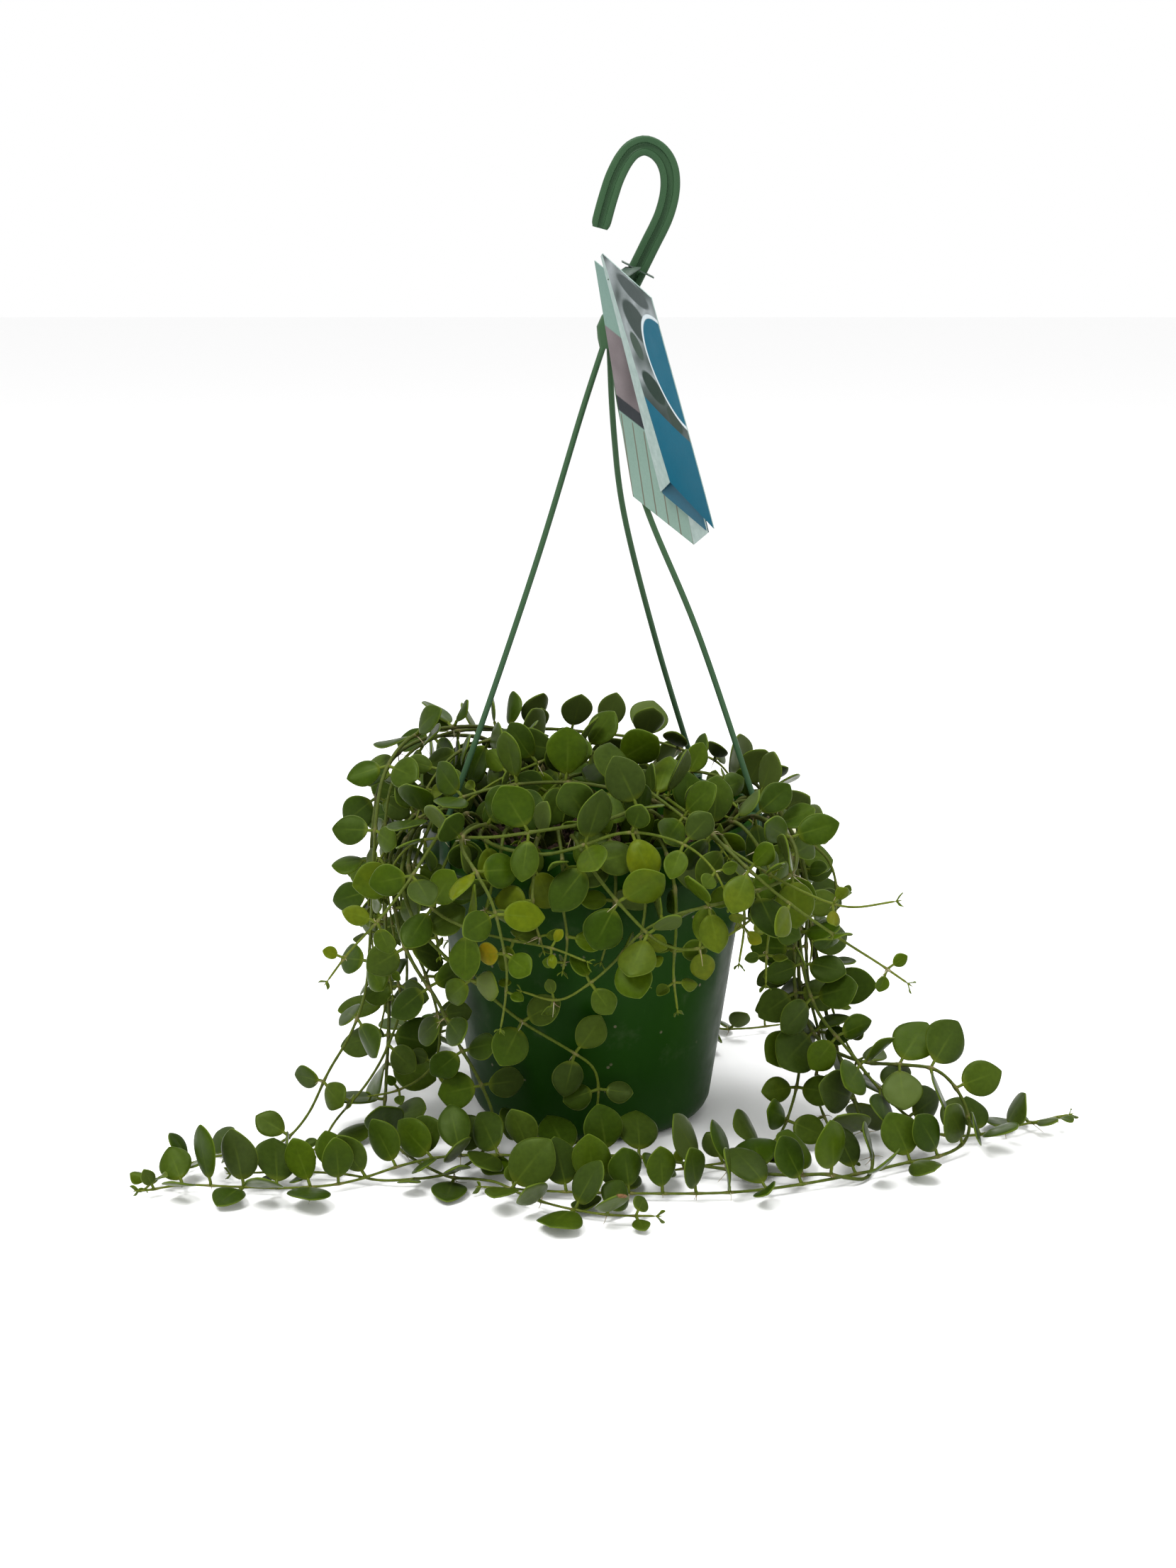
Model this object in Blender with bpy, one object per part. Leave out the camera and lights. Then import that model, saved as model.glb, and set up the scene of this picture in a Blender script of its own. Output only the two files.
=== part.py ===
"""A potted trailing hoya: a hanging pot with its moulded hanger, potting mix, a folded care label, one small
flower, and the plant as one closed solid for each stem with its leaves.

Metres, +Z up. The origin is the centre of the pot's underside, and +Y points to the back of the pot.
Each stem's route is a list of points chosen by hand, in millimetres. The stems are pushed apart a little so
that none touches another, and leaves are then set along them wherever there is room.
"""

import math

import bmesh
import bpy
import numpy as np
from mathutils import Vector
from mathutils.bvhtree import BVHTree

MM = 0.001
FIT_GAP = 0.3

# Pot, in millimetres: a 15 cm hanging pot, turned from a profile
POT_SIDES = 36
RIM_RADIUS = 75.0
RIM_TOP = 140.0
RIM_UNDERSIDE = 122.0
WALL_TOP_RADIUS = 70.6
WALL_BASE_RADIUS = 54.5
BASE_CORNER = 11.0
WALL = 1.8
DRAIN_HOLES = 6
DRAIN_RADIUS = 4.0
DRAIN_CIRCLE = 32.0
SOIL_EDGE = 121.0
SOIL_CROWN = 125.0

# Hanger, in millimetres
CLIP_ANGLES = {"right": -15.0, "back": 50.0, "left": 214.0}
CLIP_WIDTH = 7.0
CLIP_LEG = 9.0
STRAND_RADIUS = 1.3
HOOK_WIDTH = 8.2
HOOK_DEPTH = 6.0
GROOVE_WIDTH = 2.6
GROOVE_DEPTH = 1.5
JUNCTION = (7.5, 0.0, 351.0)
HOOK_ROUTE = (
    (7.5, 351.0),
    (15.5, 367.0),
    (24.0, 384.0),
    (30.5, 397.5),
    (33.0, 409.5),
    (31.0, 419.5),
    (24.0, 425.5),
    (16.5, 423.5),
    (10.5, 414.5),
    (6.5, 403.0),
    (3.5, 392.0),
)
STRAND_ROUTES = {
    "right": ((8.5, -1.0, 346.0), (13.0, -2.0, 314.0), (23.5, -6.0, 275.0), (46.5, -12.0, 220.0)),
    "back": ((7.5, 1.5, 346.0), (9.5, 8.0, 308.0), (14.5, 18.0, 268.0), (29.5, 35.0, 208.0)),
    "left": ((6.0, -1.0, 346.0), (-4.0, -7.0, 316.0), (-22.0, -19.0, 258.0), (-43.0, -33.0, 197.0)),
}

# Care label: one folded card, given by the corners of its three panels
LABEL_THICKNESS = 0.4
LABEL_COLUMNS = 4
LABEL_ROWS = 8
LABEL_CURL = 7.0
EYE_MIDDLE = np.array((19.5, 0.0, 375.0))
EYE_FRONT = (-2.0, -5.2, 1.0)
EYE_OUTSIDE = (7.5, 7.0)
EYE_HOLE = (4.7, 3.5)
EYE_THICKNESS = 0.5
LABEL_PANELS = (
    ((1.3, -10.0, 379.0), (22.0, -44.5, 363.8), (43.0, -38.0, 264.0), (18.0, -3.0, 279.0)),
    ((3.9, -17.5, 381.0), (22.8, -48.0, 365.3), (48.4, -51.0, 270.8), (29.2, -22.0, 282.5)),
    ((4.5, -20.0, 382.0), (24.0, -52.0, 365.5), (50.2, -57.0, 273.0), (32.8, -30.0, 287.0)),
)

FLOWER_AT = np.array((88.0, -16.0, 130.0))

# Plant, in millimetres
STEM_RADIUS = 1.1
TIP_RADIUS = 0.5
STEM_GAP = 1.5
STEM_STEP = 2.0
SETTLE_ROUNDS = 60
REACH = 14.0
PETIOLE = 2.6
STRAIGHT_ENOUGH = 0.55
SMALL_LEAF = 15.5
LEAF_THICKNESS = 1.3
TIP_STARTS = 0.83
LEAF_CLEARANCE = 0.55
OWN_STEM_GAP = 1.9
TRIES = 30
SEED = 11

# name, distance between pairs of leaves, leaf length, route
VINES = (
    # long runners that cross the front of the crown
    ("vine_cross_long", 26, 20, (
        (-38, 6, 127), (-34, 14, 150), (-22, 18, 164), (6, -10, 166), (19, -35, 161), (31, -50, 155),
        (46, -65, 147), (66, -80, 137), (85, -88, 128), (105, -90, 121), (125, -92, 124))),
    ("vine_swag_upper", 23, 19, (
        (47, -14, 127), (40, -30, 144), (27, -40, 153), (13, -45, 159), (-10, -46, 163), (-40, -55, 163),
        (-66, -52, 153), (-82, -48, 141), (-92, -46, 126), (-95, -46, 108))),
    ("vine_swag_middle", 24, 20, (
        (38, -38, 127), (30, -56, 149), (20, -67, 157), (6, -78, 155), (-25, -83, 151), (-42, -80, 148),
        (-58, -73, 146), (-74, -66, 142), (-84, -60, 130), (-88, -60, 116))),
    ("vine_swag_lower", 22, 20, (
        (-44, -38, 127), (-47, -62, 143), (-38, -78, 143), (-20, -85, 142), (-5, -87, 146), (11, -85, 151),
        (25, -83, 150), (40, -84, 145), (50, -90, 137), (57, -94, 124))),
    ("vine_left_runner", 22, 18, (
        (-40, -22, 127), (-50, -46, 149), (-58, -62, 149), (-67, -78, 142), (-77, -88, 129), (-87, -93, 117),
        (-100, -95, 103), (-109, -96, 91))),
    ("vine_right_runner", 25, 18, (
        (30, -32, 127), (42, -58, 149), (54, -77, 144), (66, -87, 135), (80, -92, 124), (102, -95, 109),
        (118, -97, 99), (130, -99, 91))),
    ("vine_front_loop", 21, 20, (
        (-6, -46, 127), (-8, -74, 147), (2, -92, 135), (17, -97, 118), (29, -96, 107), (43, -94, 104),
        (58, -91, 110), (70, -87, 118))),
    ("vine_front_swag", 21, 19, (
        (52, -18, 127), (68, -42, 147), (84, -60, 142), (84, -74, 131), (64, -89, 126), (48, -95, 123),
        (33, -97, 119), (19, -96, 110), (9, -94, 98), (-1, -91, 88), (-14, -89, 80), (-29, -89, 84))),
    ("vine_front_left_drop", 19, 18, (
        (-30, -42, 127), (-42, -66, 149), (-54, -80, 146), (-47, -93, 136), (-41, -98, 126), (-37, -98, 110),
        (-35, -95, 95), (-36, -92, 80), (-38, -90, 68))),
    ("vine_left_swag", 20, 19, (
        (-55, -28, 127), (-70, -48, 144), (-77, -66, 132), (-67, -80, 118), (-52, -87, 111), (-35, -90, 107),
        (-17, -92, 104), (-2, -95, 99))),
    ("vine_pot_front", 27, 17, (
        (-48, -6, 127), (-66, -36, 147), (-80, -62, 131), (-74, -80, 112), (-62, -85, 99),
        (-50, -83, 87), (-31, -78, 68), (-9, -73, 52), (1, -70, 43), (3, -68, 30), (0, -67, 15),
        (-8, -70, 6), (-20, -84, 3))),
    ("vine_fringe_centre_left", 15, 19, (
        (-18, -48, 127), (-22, -70, 146), (-24, -87, 134), (-24, -90, 118), (-20, -89, 102))),
    ("vine_fringe_centre", 15, 19, (
        (6, -50, 127), (8, -72, 144), (10, -84, 130), (8, -88, 112), (4, -86, 96))),
    ("vine_fringe_centre_right", 15, 19, (
        (22, -46, 127), (28, -70, 145), (34, -83, 130), (35, -88, 112), (34, -88, 92), (36, -84, 74))),
    ("vine_fringe_right", 15, 19, (
        (40, -36, 127), (52, -58, 145), (62, -70, 130), (64, -76, 110), (62, -76, 92))),
    ("vine_fringe_inner_left", 15, 19, (
        (-10, -40, 127), (-14, -66, 148), (-12, -82, 138), (-12, -87, 122), (-10, -88, 106), (-12, -86, 92))),
    ("vine_fringe_inner_right", 15, 19, (
        (16, -40, 127), (18, -64, 148), (22, -84, 136), (22, -92, 120), (20, -92, 104), (22, -90, 88))),
    ("vine_fringe_mid_left", 15, 19, (
        (-26, -44, 127), (-36, -66, 148), (-40, -82, 134), (-44, -86, 118), (-48, -84, 104), (-50, -80, 90))),
    ("vine_fringe_far_right", 16, 18, (
        (46, -30, 127), (60, -50, 147), (74, -62, 132), (76, -68, 114), (74, -70, 96), (74, -68, 80))),
    ("vine_fringe_far_left", 16, 18, (
        (-46, -20, 127), (-62, -40, 148), (-74, -52, 134), (-76, -62, 116), (-74, -66, 100))),
    ("vine_fringe_left", 20, 17, (
        (-40, -34, 127), (-50, -54, 145), (-62, -66, 132), (-66, -72, 112), (-64, -72, 94))),
    # left shoulder
    ("vine_shoulder_left", 28, 17, (
        (-22, 30, 127), (-24, 34, 158), (-42, 30, 169), (-64, 11, 174), (-80, -12, 174), (-89, -32, 164),
        (-92, -42, 148), (-93, -48, 126), (-95, -50, 98), (-98, -47, 70), (-105, -46, 50),
        (-115, -48, 33), (-124, -53, 15), (-135, -60, 5), (-150, -68, 4), (-166, -76, 4), (-180, -92, 4),
        (-186, -108, 4))),
    ("vine_shoulder_inner", 24, 15, (
        (-6, 42, 127), (-24, 44, 160), (-56, 24, 170), (-77, -7, 169), (-86, -26, 159), (-89, -38, 140),
        (-88, -45, 118), (-85, -48, 94))),
    ("vine_shoulder_outer", 27, 16, (
        (-26, 42, 127), (-42, 42, 158), (-66, 26, 167), (-84, 2, 166), (-92, -18, 156), (-95, -31, 137),
        (-95, -36, 112), (-89, -34, 86), (-84, -31, 60), (-90, -35, 40), (-99, -41, 25), (-112, -52, 12),
        (-118, -64, 5), (-128, -76, 4))),
    ("vine_left_curl", 21, 13, (
        (-52, 2, 127), (-70, -12, 147), (-86, -24, 128), (-83, -34, 100), (-73, -38, 76), (-67, -39, 54),
        (-68, -40, 37), (-75, -42, 28), (-86, -45, 23), (-96, -48, 22))),
    ("vine_left_drop", 24, 15, (
        (-50, -10, 127), (-70, -26, 147), (-84, -40, 136), (-88, -48, 116), (-88, -52, 92), (-86, -52, 70))),
    ("vine_left_back_drop", 25, 15, (
        (-52, 14, 127), (-72, 14, 146), (-86, 6, 136), (-92, -6, 114), (-92, -12, 90), (-90, -18, 66),
        (-94, -22, 44))),
    ("vine_left_tumble", 22, 15, (
        (-54, 4, 127), (-72, 0, 149), (-86, -12, 144), (-95, -24, 126), (-97, -34, 104), (-95, -38, 84))),
    # right side
    ("vine_right_shoulder", 22, 13, (
        (50, 6, 127), (67, 1, 143), (80, -6, 137), (92, -11, 130), (104, -15, 121), (108, -20, 109),
        (107, -26, 94))),
    ("vine_right_front_drop", 20, 17, (
        (48, -26, 127), (68, -34, 145), (82, -38, 136), (88, -34, 118), (90, -32, 98), (89, -31, 76),
        (91, -33, 52), (92, -38, 34), (88, -48, 18), (80, -62, 7), (64, -76, 4), (46, -84, 4),
        (30, -90, 4))),
    ("vine_right_drop", 20, 16, (
        (54, -10, 127), (73, -18, 145), (88, -22, 133), (95, -22, 110), (95, -21, 84), (97, -22, 60),
        (102, -26, 38), (99, -38, 22), (104, -52, 9), (109, -66, 4), (112, -80, 4))),
    ("vine_right_reach", 17, 18, (
        (52, 10, 127), (74, 4, 144), (86, -6, 130), (92, -18, 108), (91, -30, 84), (98, -40, 60),
        (112, -47, 43), (125, -50, 27), (139, -51, 13), (152, -53, 6), (170, -51, 5), (186, -42, 5),
        (200, -32, 4), (214, -27, 5))),
    ("vine_floor_right_sweep", 14.5, 21, (
        (46, 20, 127), (73, 20, 142), (86, 10, 126), (93, -6, 100), (92, -22, 70), (95, -31, 52),
        (103, -36, 41), (119, -40, 35), (136, -44, 35), (151, -48, 34), (161, -52, 24), (165, -56, 11),
        (160, -64, 5), (148, -74, 4), (135, -80, 4), (115, -91, 4), (86, -104, 4), (57, -112, 4),
        (22, -113, 4), (-14, -111, 4), (-46, -106, 4))),
    ("vine_floor_front_sweep", 15, 21.5, (
        (40, 34, 127), (68, 36, 142), (88, 26, 120), (98, 6, 84), (106, -20, 46), (116, -54, 18),
        (120, -82, 5), (108, -97, 4), (83, -97, 5), (60, -93, 6), (36, -89, 8), (14, -87, 10),
        (-10, -88, 10), (-45, -86, 10), (-64, -86, 9), (-80, -90, 7), (-102, -101, 4), (-123, -107, 4),
        (-148, -106, 4), (-171, -104, 4), (-188, -110, 4))),
    ("vine_right_outer_drop", 17, 17, (
        (54, 18, 127), (76, 16, 144), (88, 10, 126), (96, 2, 102), (100, -6, 80), (104, -12, 58),
        (112, -18, 40), (122, -24, 24))),
    ("vine_right_tumble", 22, 16, (
        (56, 0, 127), (74, -6, 145), (84, -10, 132), (92, -14, 114), (96, -18, 94), (96, -22, 76))),
    ("vine_floor_left", 17, 17, (
        (-52, -16, 127), (-68, -38, 146), (-84, -54, 130), (-82, -66, 106), (-75, -74, 91),
        (-65, -73, 74), (-58, -69, 56), (-48, -67, 36), (-42, -68, 18), (-46, -76, 8), (-60, -94, 5),
        (-82, -98, 4), (-104, -92, 4), (-128, -90, 4), (-152, -92, 4))),
    ("vine_floor_front_short", 15.5, 21.5, (
        (-50, 30, 127), (-74, 36, 144), (-90, 30, 120), (-95, 18, 84), (-92, 0, 46), (-92, -24, 18),
        (-90, -50, 6), (-72, -84, 5), (-46, -102, 5), (-20, -122, 4), (4, -134, 4), (26, -136, 4))),
    # crown
    ("vine_crown_mound", 15, 18, (
        (10, 20, 127), (6, 22, 152), (-8, 10, 158), (-14, -10, 158), (0, -30, 156), (12, -44, 150))),
    ("vine_crown_front_right", 15, 19, (
        (30, -10, 127), (28, -24, 150), (36, -44, 152), (48, -58, 146), (58, -68, 136))),
    ("vine_crown_arch_back", 18, 19, (
        (-40, 26, 127), (-46, 38, 156), (-28, 46, 165), (0, 50, 163), (30, 55, 158), (50, 50, 154),
        (61, 44, 148), (68, 40, 136))),
    ("vine_crown_left", 15, 18, (
        (-10, 8, 127), (-22, 10, 160), (-40, 4, 170), (-58, -10, 168), (-70, -28, 158), (-76, -40, 142))),
    ("vine_crown_centre", 15, 19, (
        (4, 4, 127), (-4, 2, 158), (-10, -14, 170), (-22, -30, 168), (-40, -38, 162), (-56, -40, 152))),
    ("vine_crown_front", 15, 18, (
        (14, -8, 127), (8, -20, 156), (-8, -30, 162), (-22, -52, 156), (-30, -68, 142))),
    ("vine_crown_right", 17, 17, (
        (22, 10, 127), (26, 2, 152), (44, -12, 156), (60, -26, 150), (72, -40, 141))),
    ("vine_crown_back_left", 20, 17, (
        (-24, 20, 127), (-34, 24, 152), (-54, 34, 156), (-72, 34, 148), (-84, 28, 130), (-88, 20, 108))),
    ("vine_crown_back_right", 20, 15, (
        (26, 26, 127), (38, 28, 148), (54, 22, 150), (70, 8, 146), (82, -6, 138))),
    # back
    ("vine_back_left_drop", 22, 18, (
        (-36, 40, 127), (-54, 54, 145), (-70, 66, 126), (-72, 70, 98), (-68, 66, 70), (-68, 64, 44))),
    ("vine_back_centre_drop", 22, 18, (
        (-6, 54, 127), (-10, 74, 146), (-14, 90, 124), (-14, 90, 96), (-8, 84, 66), (-10, 80, 40))),
    ("vine_back_right_drop", 22, 18, (
        (22, 50, 127), (32, 70, 146), (40, 84, 124), (44, 84, 94), (42, 78, 64), (48, 74, 34), (58, 80, 10),
        (74, 90, 4), (94, 96, 4))),
    ("vine_back_floor_left", 26, 18, (
        (-46, 30, 127), (-68, 46, 145), (-84, 56, 122), (-90, 58, 84), (-88, 60, 46), (-90, 66, 16),
        (-84, 80, 4), (-62, 94, 4), (-36, 102, 4), (-8, 106, 4))),
    ("vine_back_swag", 21, 18, (
        (-20, 50, 127), (-30, 72, 145), (-24, 88, 134), (0, 96, 124), (26, 94, 122), (50, 84, 124),
        (68, 66, 122), (78, 50, 108))),
    ("vine_back_right_swag", 22, 16, (
        (44, 24, 127), (66, 30, 146), (80, 36, 132), (88, 32, 108), (90, 24, 84), (90, 20, 60))),
)


# ---------------------------------------------------------------- general helpers


def unit(v):
    v = np.asarray(v, float)
    return v / max(np.linalg.norm(v), 1e-9)


def smooth_route(points, step):
    """Points every `step` along a Catmull-Rom curve through the given points."""
    p = np.array(points, float)
    p = np.vstack([2 * p[0] - p[1], p, 2 * p[-1] - p[-2]])
    dense = []
    for i in range(1, len(p) - 2):
        for t in np.linspace(0, 1, 24, endpoint=False):
            dense.append(0.5 * (
                2 * p[i] + (p[i + 1] - p[i - 1]) * t
                + (2 * p[i - 1] - 5 * p[i] + 4 * p[i + 1] - p[i + 2]) * t ** 2
                + (3 * p[i] - p[i - 1] - 3 * p[i + 1] + p[i + 2]) * t ** 3))
    dense.append(p[-2])
    dense = np.array(dense)
    length = np.concatenate([[0], np.cumsum(np.linalg.norm(np.diff(dense, axis=0), axis=1))])
    count = max(4, int(round(length[-1] / step)) + 1)
    at = np.linspace(0, length[-1], count)
    return np.stack([np.interp(at, length, dense[:, k]) for k in range(3)], 1)


def tube_mesh(path, radii, sides, start_side=None):
    """Vertices and faces of a closed tube with a steady frame along a path."""
    path = np.array(path, float)
    tangents = np.gradient(path, axis=0)
    side = unit(np.cross(tangents[0], start_side if start_side is not None else (0.3, 0.2, 1)))
    verts = []
    faces = []
    for i, (p, t, r) in enumerate(zip(path, tangents, radii)):
        t = unit(t)
        side = unit(side - t * side.dot(t))
        up = np.cross(t, side)
        for k in range(sides):
            a = 2 * math.pi * (k + 0.5) / sides
            verts.append(p + r * (side * math.cos(a) + up * math.sin(a)))
        if i:
            b = len(verts) - 2 * sides
            for k in range(sides):
                n = (k + 1) % sides
                faces.append((b + k, b + n, b + sides + n, b + sides + k))
    faces.append(tuple(reversed(range(sides))))
    faces.append(tuple(range(len(verts) - sides, len(verts))))
    return verts, faces


def lathe_mesh(profile, sides):
    """A closed turned solid from a closed profile of (radius, height); points at radius 0 are poles."""
    verts = []
    rings = []
    for r, z in profile:
        if r == 0:
            rings.append([len(verts)] * sides)
            verts.append((0, 0, z))
            continue
        rings.append(list(range(len(verts), len(verts) + sides)))
        for k in range(sides):
            a = 2 * math.pi * k / sides
            verts.append((r * math.cos(a), r * math.sin(a), z))
    faces = []
    for a, b in zip(rings, rings[1:]):
        for k in range(sides):
            n = (k + 1) % sides
            corners = []
            for v in (a[k], a[n], b[n], b[k]):
                if v not in corners:
                    corners.append(v)
            if len(corners) > 2:
                faces.append(tuple(corners))
    return verts, faces


# ---------------------------------------------------------------- outlines shared by the pieces


def wall_radius(z):
    """Outside radius of the pot's wall, in millimetres."""
    if z < BASE_CORNER:
        drop = BASE_CORNER - z
        return WALL_BASE_RADIUS - BASE_CORNER + math.sqrt(max(BASE_CORNER ** 2 - drop ** 2, 0))
    return WALL_BASE_RADIUS + (WALL_TOP_RADIUS - WALL_BASE_RADIUS) * (
        (z - BASE_CORNER) / (RIM_UNDERSIDE - BASE_CORNER))


def soil_height(r):
    return SOIL_CROWN - (SOIL_CROWN - SOIL_EDGE) * min(1.0, r / 68.0) ** 2


def solid_outline():
    """Outer boundary, in (radius, height), of the pot and the potting mix together."""
    return np.array(
        [(0, SOIL_CROWN), (34, soil_height(34)), (wall_radius(SOIL_EDGE) - WALL, SOIL_EDGE),
         (wall_radius(RIM_TOP) - WALL, RIM_TOP),
         (RIM_RADIUS, RIM_TOP), (RIM_RADIUS, RIM_UNDERSIDE), (WALL_TOP_RADIUS, RIM_UNDERSIDE)]
        + [(wall_radius(z), z) for z in (90, 50, BASE_CORNER, 6, 2.5, 0.8, 0.1)] + [(0, 0)], float)


OUTLINE = solid_outline()


def outline_distance(points):
    """Signed distance from each point to the pot and mix, and the direction away from them."""
    r = np.hypot(points[:, 0], points[:, 1])
    q = np.stack([r, points[:, 2]], 1)
    a = OUTLINE[:-1]
    b = OUTLINE[1:]
    edge = b - a
    t = ((q[:, None] - a) * edge).sum(2) / (edge ** 2).sum(1)
    near = a + edge * np.clip(t, 0, 1)[:, :, None]
    away = q[:, None] - near
    dist = np.linalg.norm(away, axis=2)
    k = dist.argmin(1)
    rows = np.arange(len(q))
    dist = dist[rows, k]
    away = away[rows, k]
    crossings = (a[:, 1] > q[:, None, 1]) != (b[:, 1] > q[:, None, 1])
    at = a[:, 0] + (q[:, None, 1] - a[:, 1]) / np.where(edge[:, 1] == 0, 1e-9, edge[:, 1]) * edge[:, 0]
    inside = (crossings & (q[:, None, 0] < at)).sum(1) % 2 == 1
    sign = np.where(inside, -1.0, 1.0)
    flat = away / np.maximum(dist, 1e-6)[:, None] * sign[:, None]
    radial = points[:, :2] / np.maximum(r, 1e-6)[:, None]
    return dist * sign, np.concatenate([radial * flat[:, :1], flat[:, 1:]], 1)


def clip_top(name):
    a = math.radians(CLIP_ANGLES[name])
    return np.array(((RIM_RADIUS + 1.0) * math.cos(a), (RIM_RADIUS + 1.0) * math.sin(a), RIM_TOP + 2.0))


def strand_path(name):
    return smooth_route([*STRAND_ROUTES[name], clip_top(name)], 12.0)


# ---------------------------------------------------------------- where the stems and leaves go


def over_the_rim(path):
    """Raises the stretch of a stem that crosses the rim, so that it passes above it."""
    r = np.hypot(path[:, 0], path[:, 1])
    ramp = np.interp(r, (56, 67, 77.2), (126, RIM_TOP + 3.2, RIM_TOP + 3.2))
    crossing = (r < 77.2) & (path[:, 2] > RIM_UNDERSIDE)
    lifted = path.copy()
    lifted[:, 2] = np.where(crossing, np.maximum(path[:, 2], ramp), path[:, 2])
    return lifted


def settled_stems():
    """Each stem's path, moved clear of the pot, the floor, the hanger and the stems before it."""
    rods = np.vstack([smooth_route([*STRAND_ROUTES[n], clip_top(n)], 1.5) for n in STRAND_ROUTES])
    clips = []
    for angle in CLIP_ANGLES.values():
        a = math.radians(angle)
        for r in (66.5, 70.0, 73.5, 77.0):
            for z in (119.0, 124.0, 129.0, 134.0, 139.0, 142.5):
                clips.append((r * math.cos(a), r * math.sin(a), z))
    petals = [FLOWER_AT + (0, 0, z) for z in (0.5, 3.0, 5.5)]
    blocks = np.vstack([rods, clips, petals])
    block_radii = np.repeat((2.0, 4.2, 2.6), (len(rods), len(clips), len(petals)))
    stems = {}
    for name, _, _, route in VINES:
        path = over_the_rim(smooth_route(route, STEM_STEP))
        radii = np.linspace(STEM_RADIUS, TIP_RADIUS, len(path))
        shift = np.zeros_like(path)
        near = np.zeros(len(blocks), bool)
        near[0] = True
        for p in path[::3]:
            near |= (np.abs(blocks - p) < REACH).all(1)
        local = blocks[near]
        local_radii = block_radii[near]
        rows = np.arange(len(path))
        for _ in range(SETTLE_ROUNDS):
            now = path + shift
            dist, away = outline_distance(now)
            push = away * np.clip(radii + STEM_GAP - dist, 0, None)[:, None]
            push[:, 2] += np.clip(radii + 0.6 - now[:, 2], 0, None)
            gap = now[:, None] - local
            far = np.linalg.norm(gap, axis=2)
            want = local_radii + radii[:, None] + STEM_GAP
            k = (far - want).argmin(1)
            short = np.clip((want - far)[rows, k], 0, None)
            push += gap[rows, k] / np.maximum(far[rows, k], 0.05)[:, None] * short[:, None]
            shift += 0.7 * push
            shift[1:-1] += 0.25 * (shift[:-2] + shift[2:] - 2 * shift[1:-1])
        path = path + shift
        stems[name] = (path, radii)
        blocks = np.vstack([blocks, path])
        block_radii = np.concatenate([block_radii, radii])
    return stems


def light_at(p):
    """The way a leaf's upper face turns at a place: up, outwards, and at the front to the front."""
    radial = unit((p[0], p[1], 0))
    front = np.clip((40 - p[1]) / 80, 0, 1)
    low = np.clip((40 - p[2]) / 40, 0, 1)
    out = np.array(radial) * 0.6 + np.array((0, -0.7, 0)) * front
    return unit(out * (1 - 0.35 * low) + np.array((0, 0, 0.45 + 0.5 * low)))


def blade_point(leaf, u, v):
    """A point on the blade's middle surface: u runs from base to tip, and v from -1 to 1 across."""
    circle = math.sqrt(max(0.0, 1 - (2 * u - 1) ** 2))
    half = leaf["width"] / 2 * (0.92 * circle + 0.12 * math.sin(math.pi * u))
    if u > TIP_STARTS:
        half *= ((1 - u) / (1 - TIP_STARTS)) ** 0.5
    turn = leaf["bend"] * u
    if abs(leaf["bend"]) > 1e-3:
        along = leaf["length"] * math.sin(turn) / leaf["bend"]
        rise = -leaf["length"] * (1 - math.cos(turn)) / leaf["bend"]
    else:
        along = leaf["length"] * u
        rise = 0.0
    rise += leaf["cup"] * (v * half / (leaf["width"] / 2)) ** 2
    side = np.cross(leaf["normal"], leaf["axis"])
    return leaf["base"] + leaf["axis"] * along + leaf["normal"] * rise + side * half * v


def blade_normal(leaf, u):
    turn = leaf["bend"] * u
    return leaf["normal"] * math.cos(turn) + leaf["axis"] * math.sin(turn)


def leaf_hull(leaf):
    """Points and faces of a stalk and blade with some clearance round them, to test their room."""
    rows = (0.06, 0.3, 0.55, 0.8, 1.0)
    cols = (-1.0, 0.0, 1.0)
    half = LEAF_THICKNESS / 2 + LEAF_CLEARANCE
    grown = dict(leaf, width=leaf["width"] + 0.8)
    side = np.cross(leaf["normal"], leaf["axis"])
    stalk = leaf["root"] + unit(leaf["base"] - leaf["root"]) * (STEM_RADIUS + 0.4)
    verts = []
    for sign in (1, -1):
        verts += [stalk + side * 2.2 * v + leaf["normal"] * 1.3 * sign for v in cols]
        for u in rows:
            normal = blade_normal(leaf, u)
            verts += [blade_point(grown, u, v) + normal * half * sign for v in cols]
    count = len(rows) + 1
    n = 3 * count
    faces = []
    for i in range(count - 1):
        for a in (3 * i, 3 * i + 1):
            quad = (a, a + 1, a + 4, a + 3)
            faces.append(quad)
            faces.append(tuple(n + k for k in reversed(quad)))
    rim = [3 * i for i in range(count)] + [3 * count - 2] + [3 * i + 2 for i in reversed(range(count))] + [1]
    for a, b in zip(rim, rim[1:] + rim[:1]):
        faces.append((a, b, b + n, a + n))
    return np.array(verts), faces


def candidate_leaf(rng, centre, tangent, side, light, radius, size, attempt):
    """One way that a leaf could stand at a node of the stem."""
    spread = 0.35 + 0.05 * attempt
    facing = unit(light + rng.normal(0, spread, 3) * 0.85)
    roll = rng.normal(0, 0.45 + 0.07 * attempt)
    out = side * math.cos(roll) + np.cross(tangent, side) * math.sin(roll)
    axis = unit(out + tangent * rng.uniform(0.0, 0.5) + facing * rng.uniform(-0.1, 0.45))
    normal = facing - axis * facing.dot(axis)
    if np.linalg.norm(normal) < 0.2:
        normal = np.cross(axis, tangent)
    normal = unit(normal)
    length = size * rng.uniform(0.86, 1.1) * (1.0 if attempt < 14 else 0.8)
    return {
        "base": centre + out * radius + axis * PETIOLE,
        "root": centre,
        "axis": axis,
        "normal": normal,
        "length": length,
        "width": length * rng.uniform(0.68, 0.93),
        "bend": rng.uniform(-0.15, 0.5),
        "cup": rng.uniform(-2.0, 1.2),
    }


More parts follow.
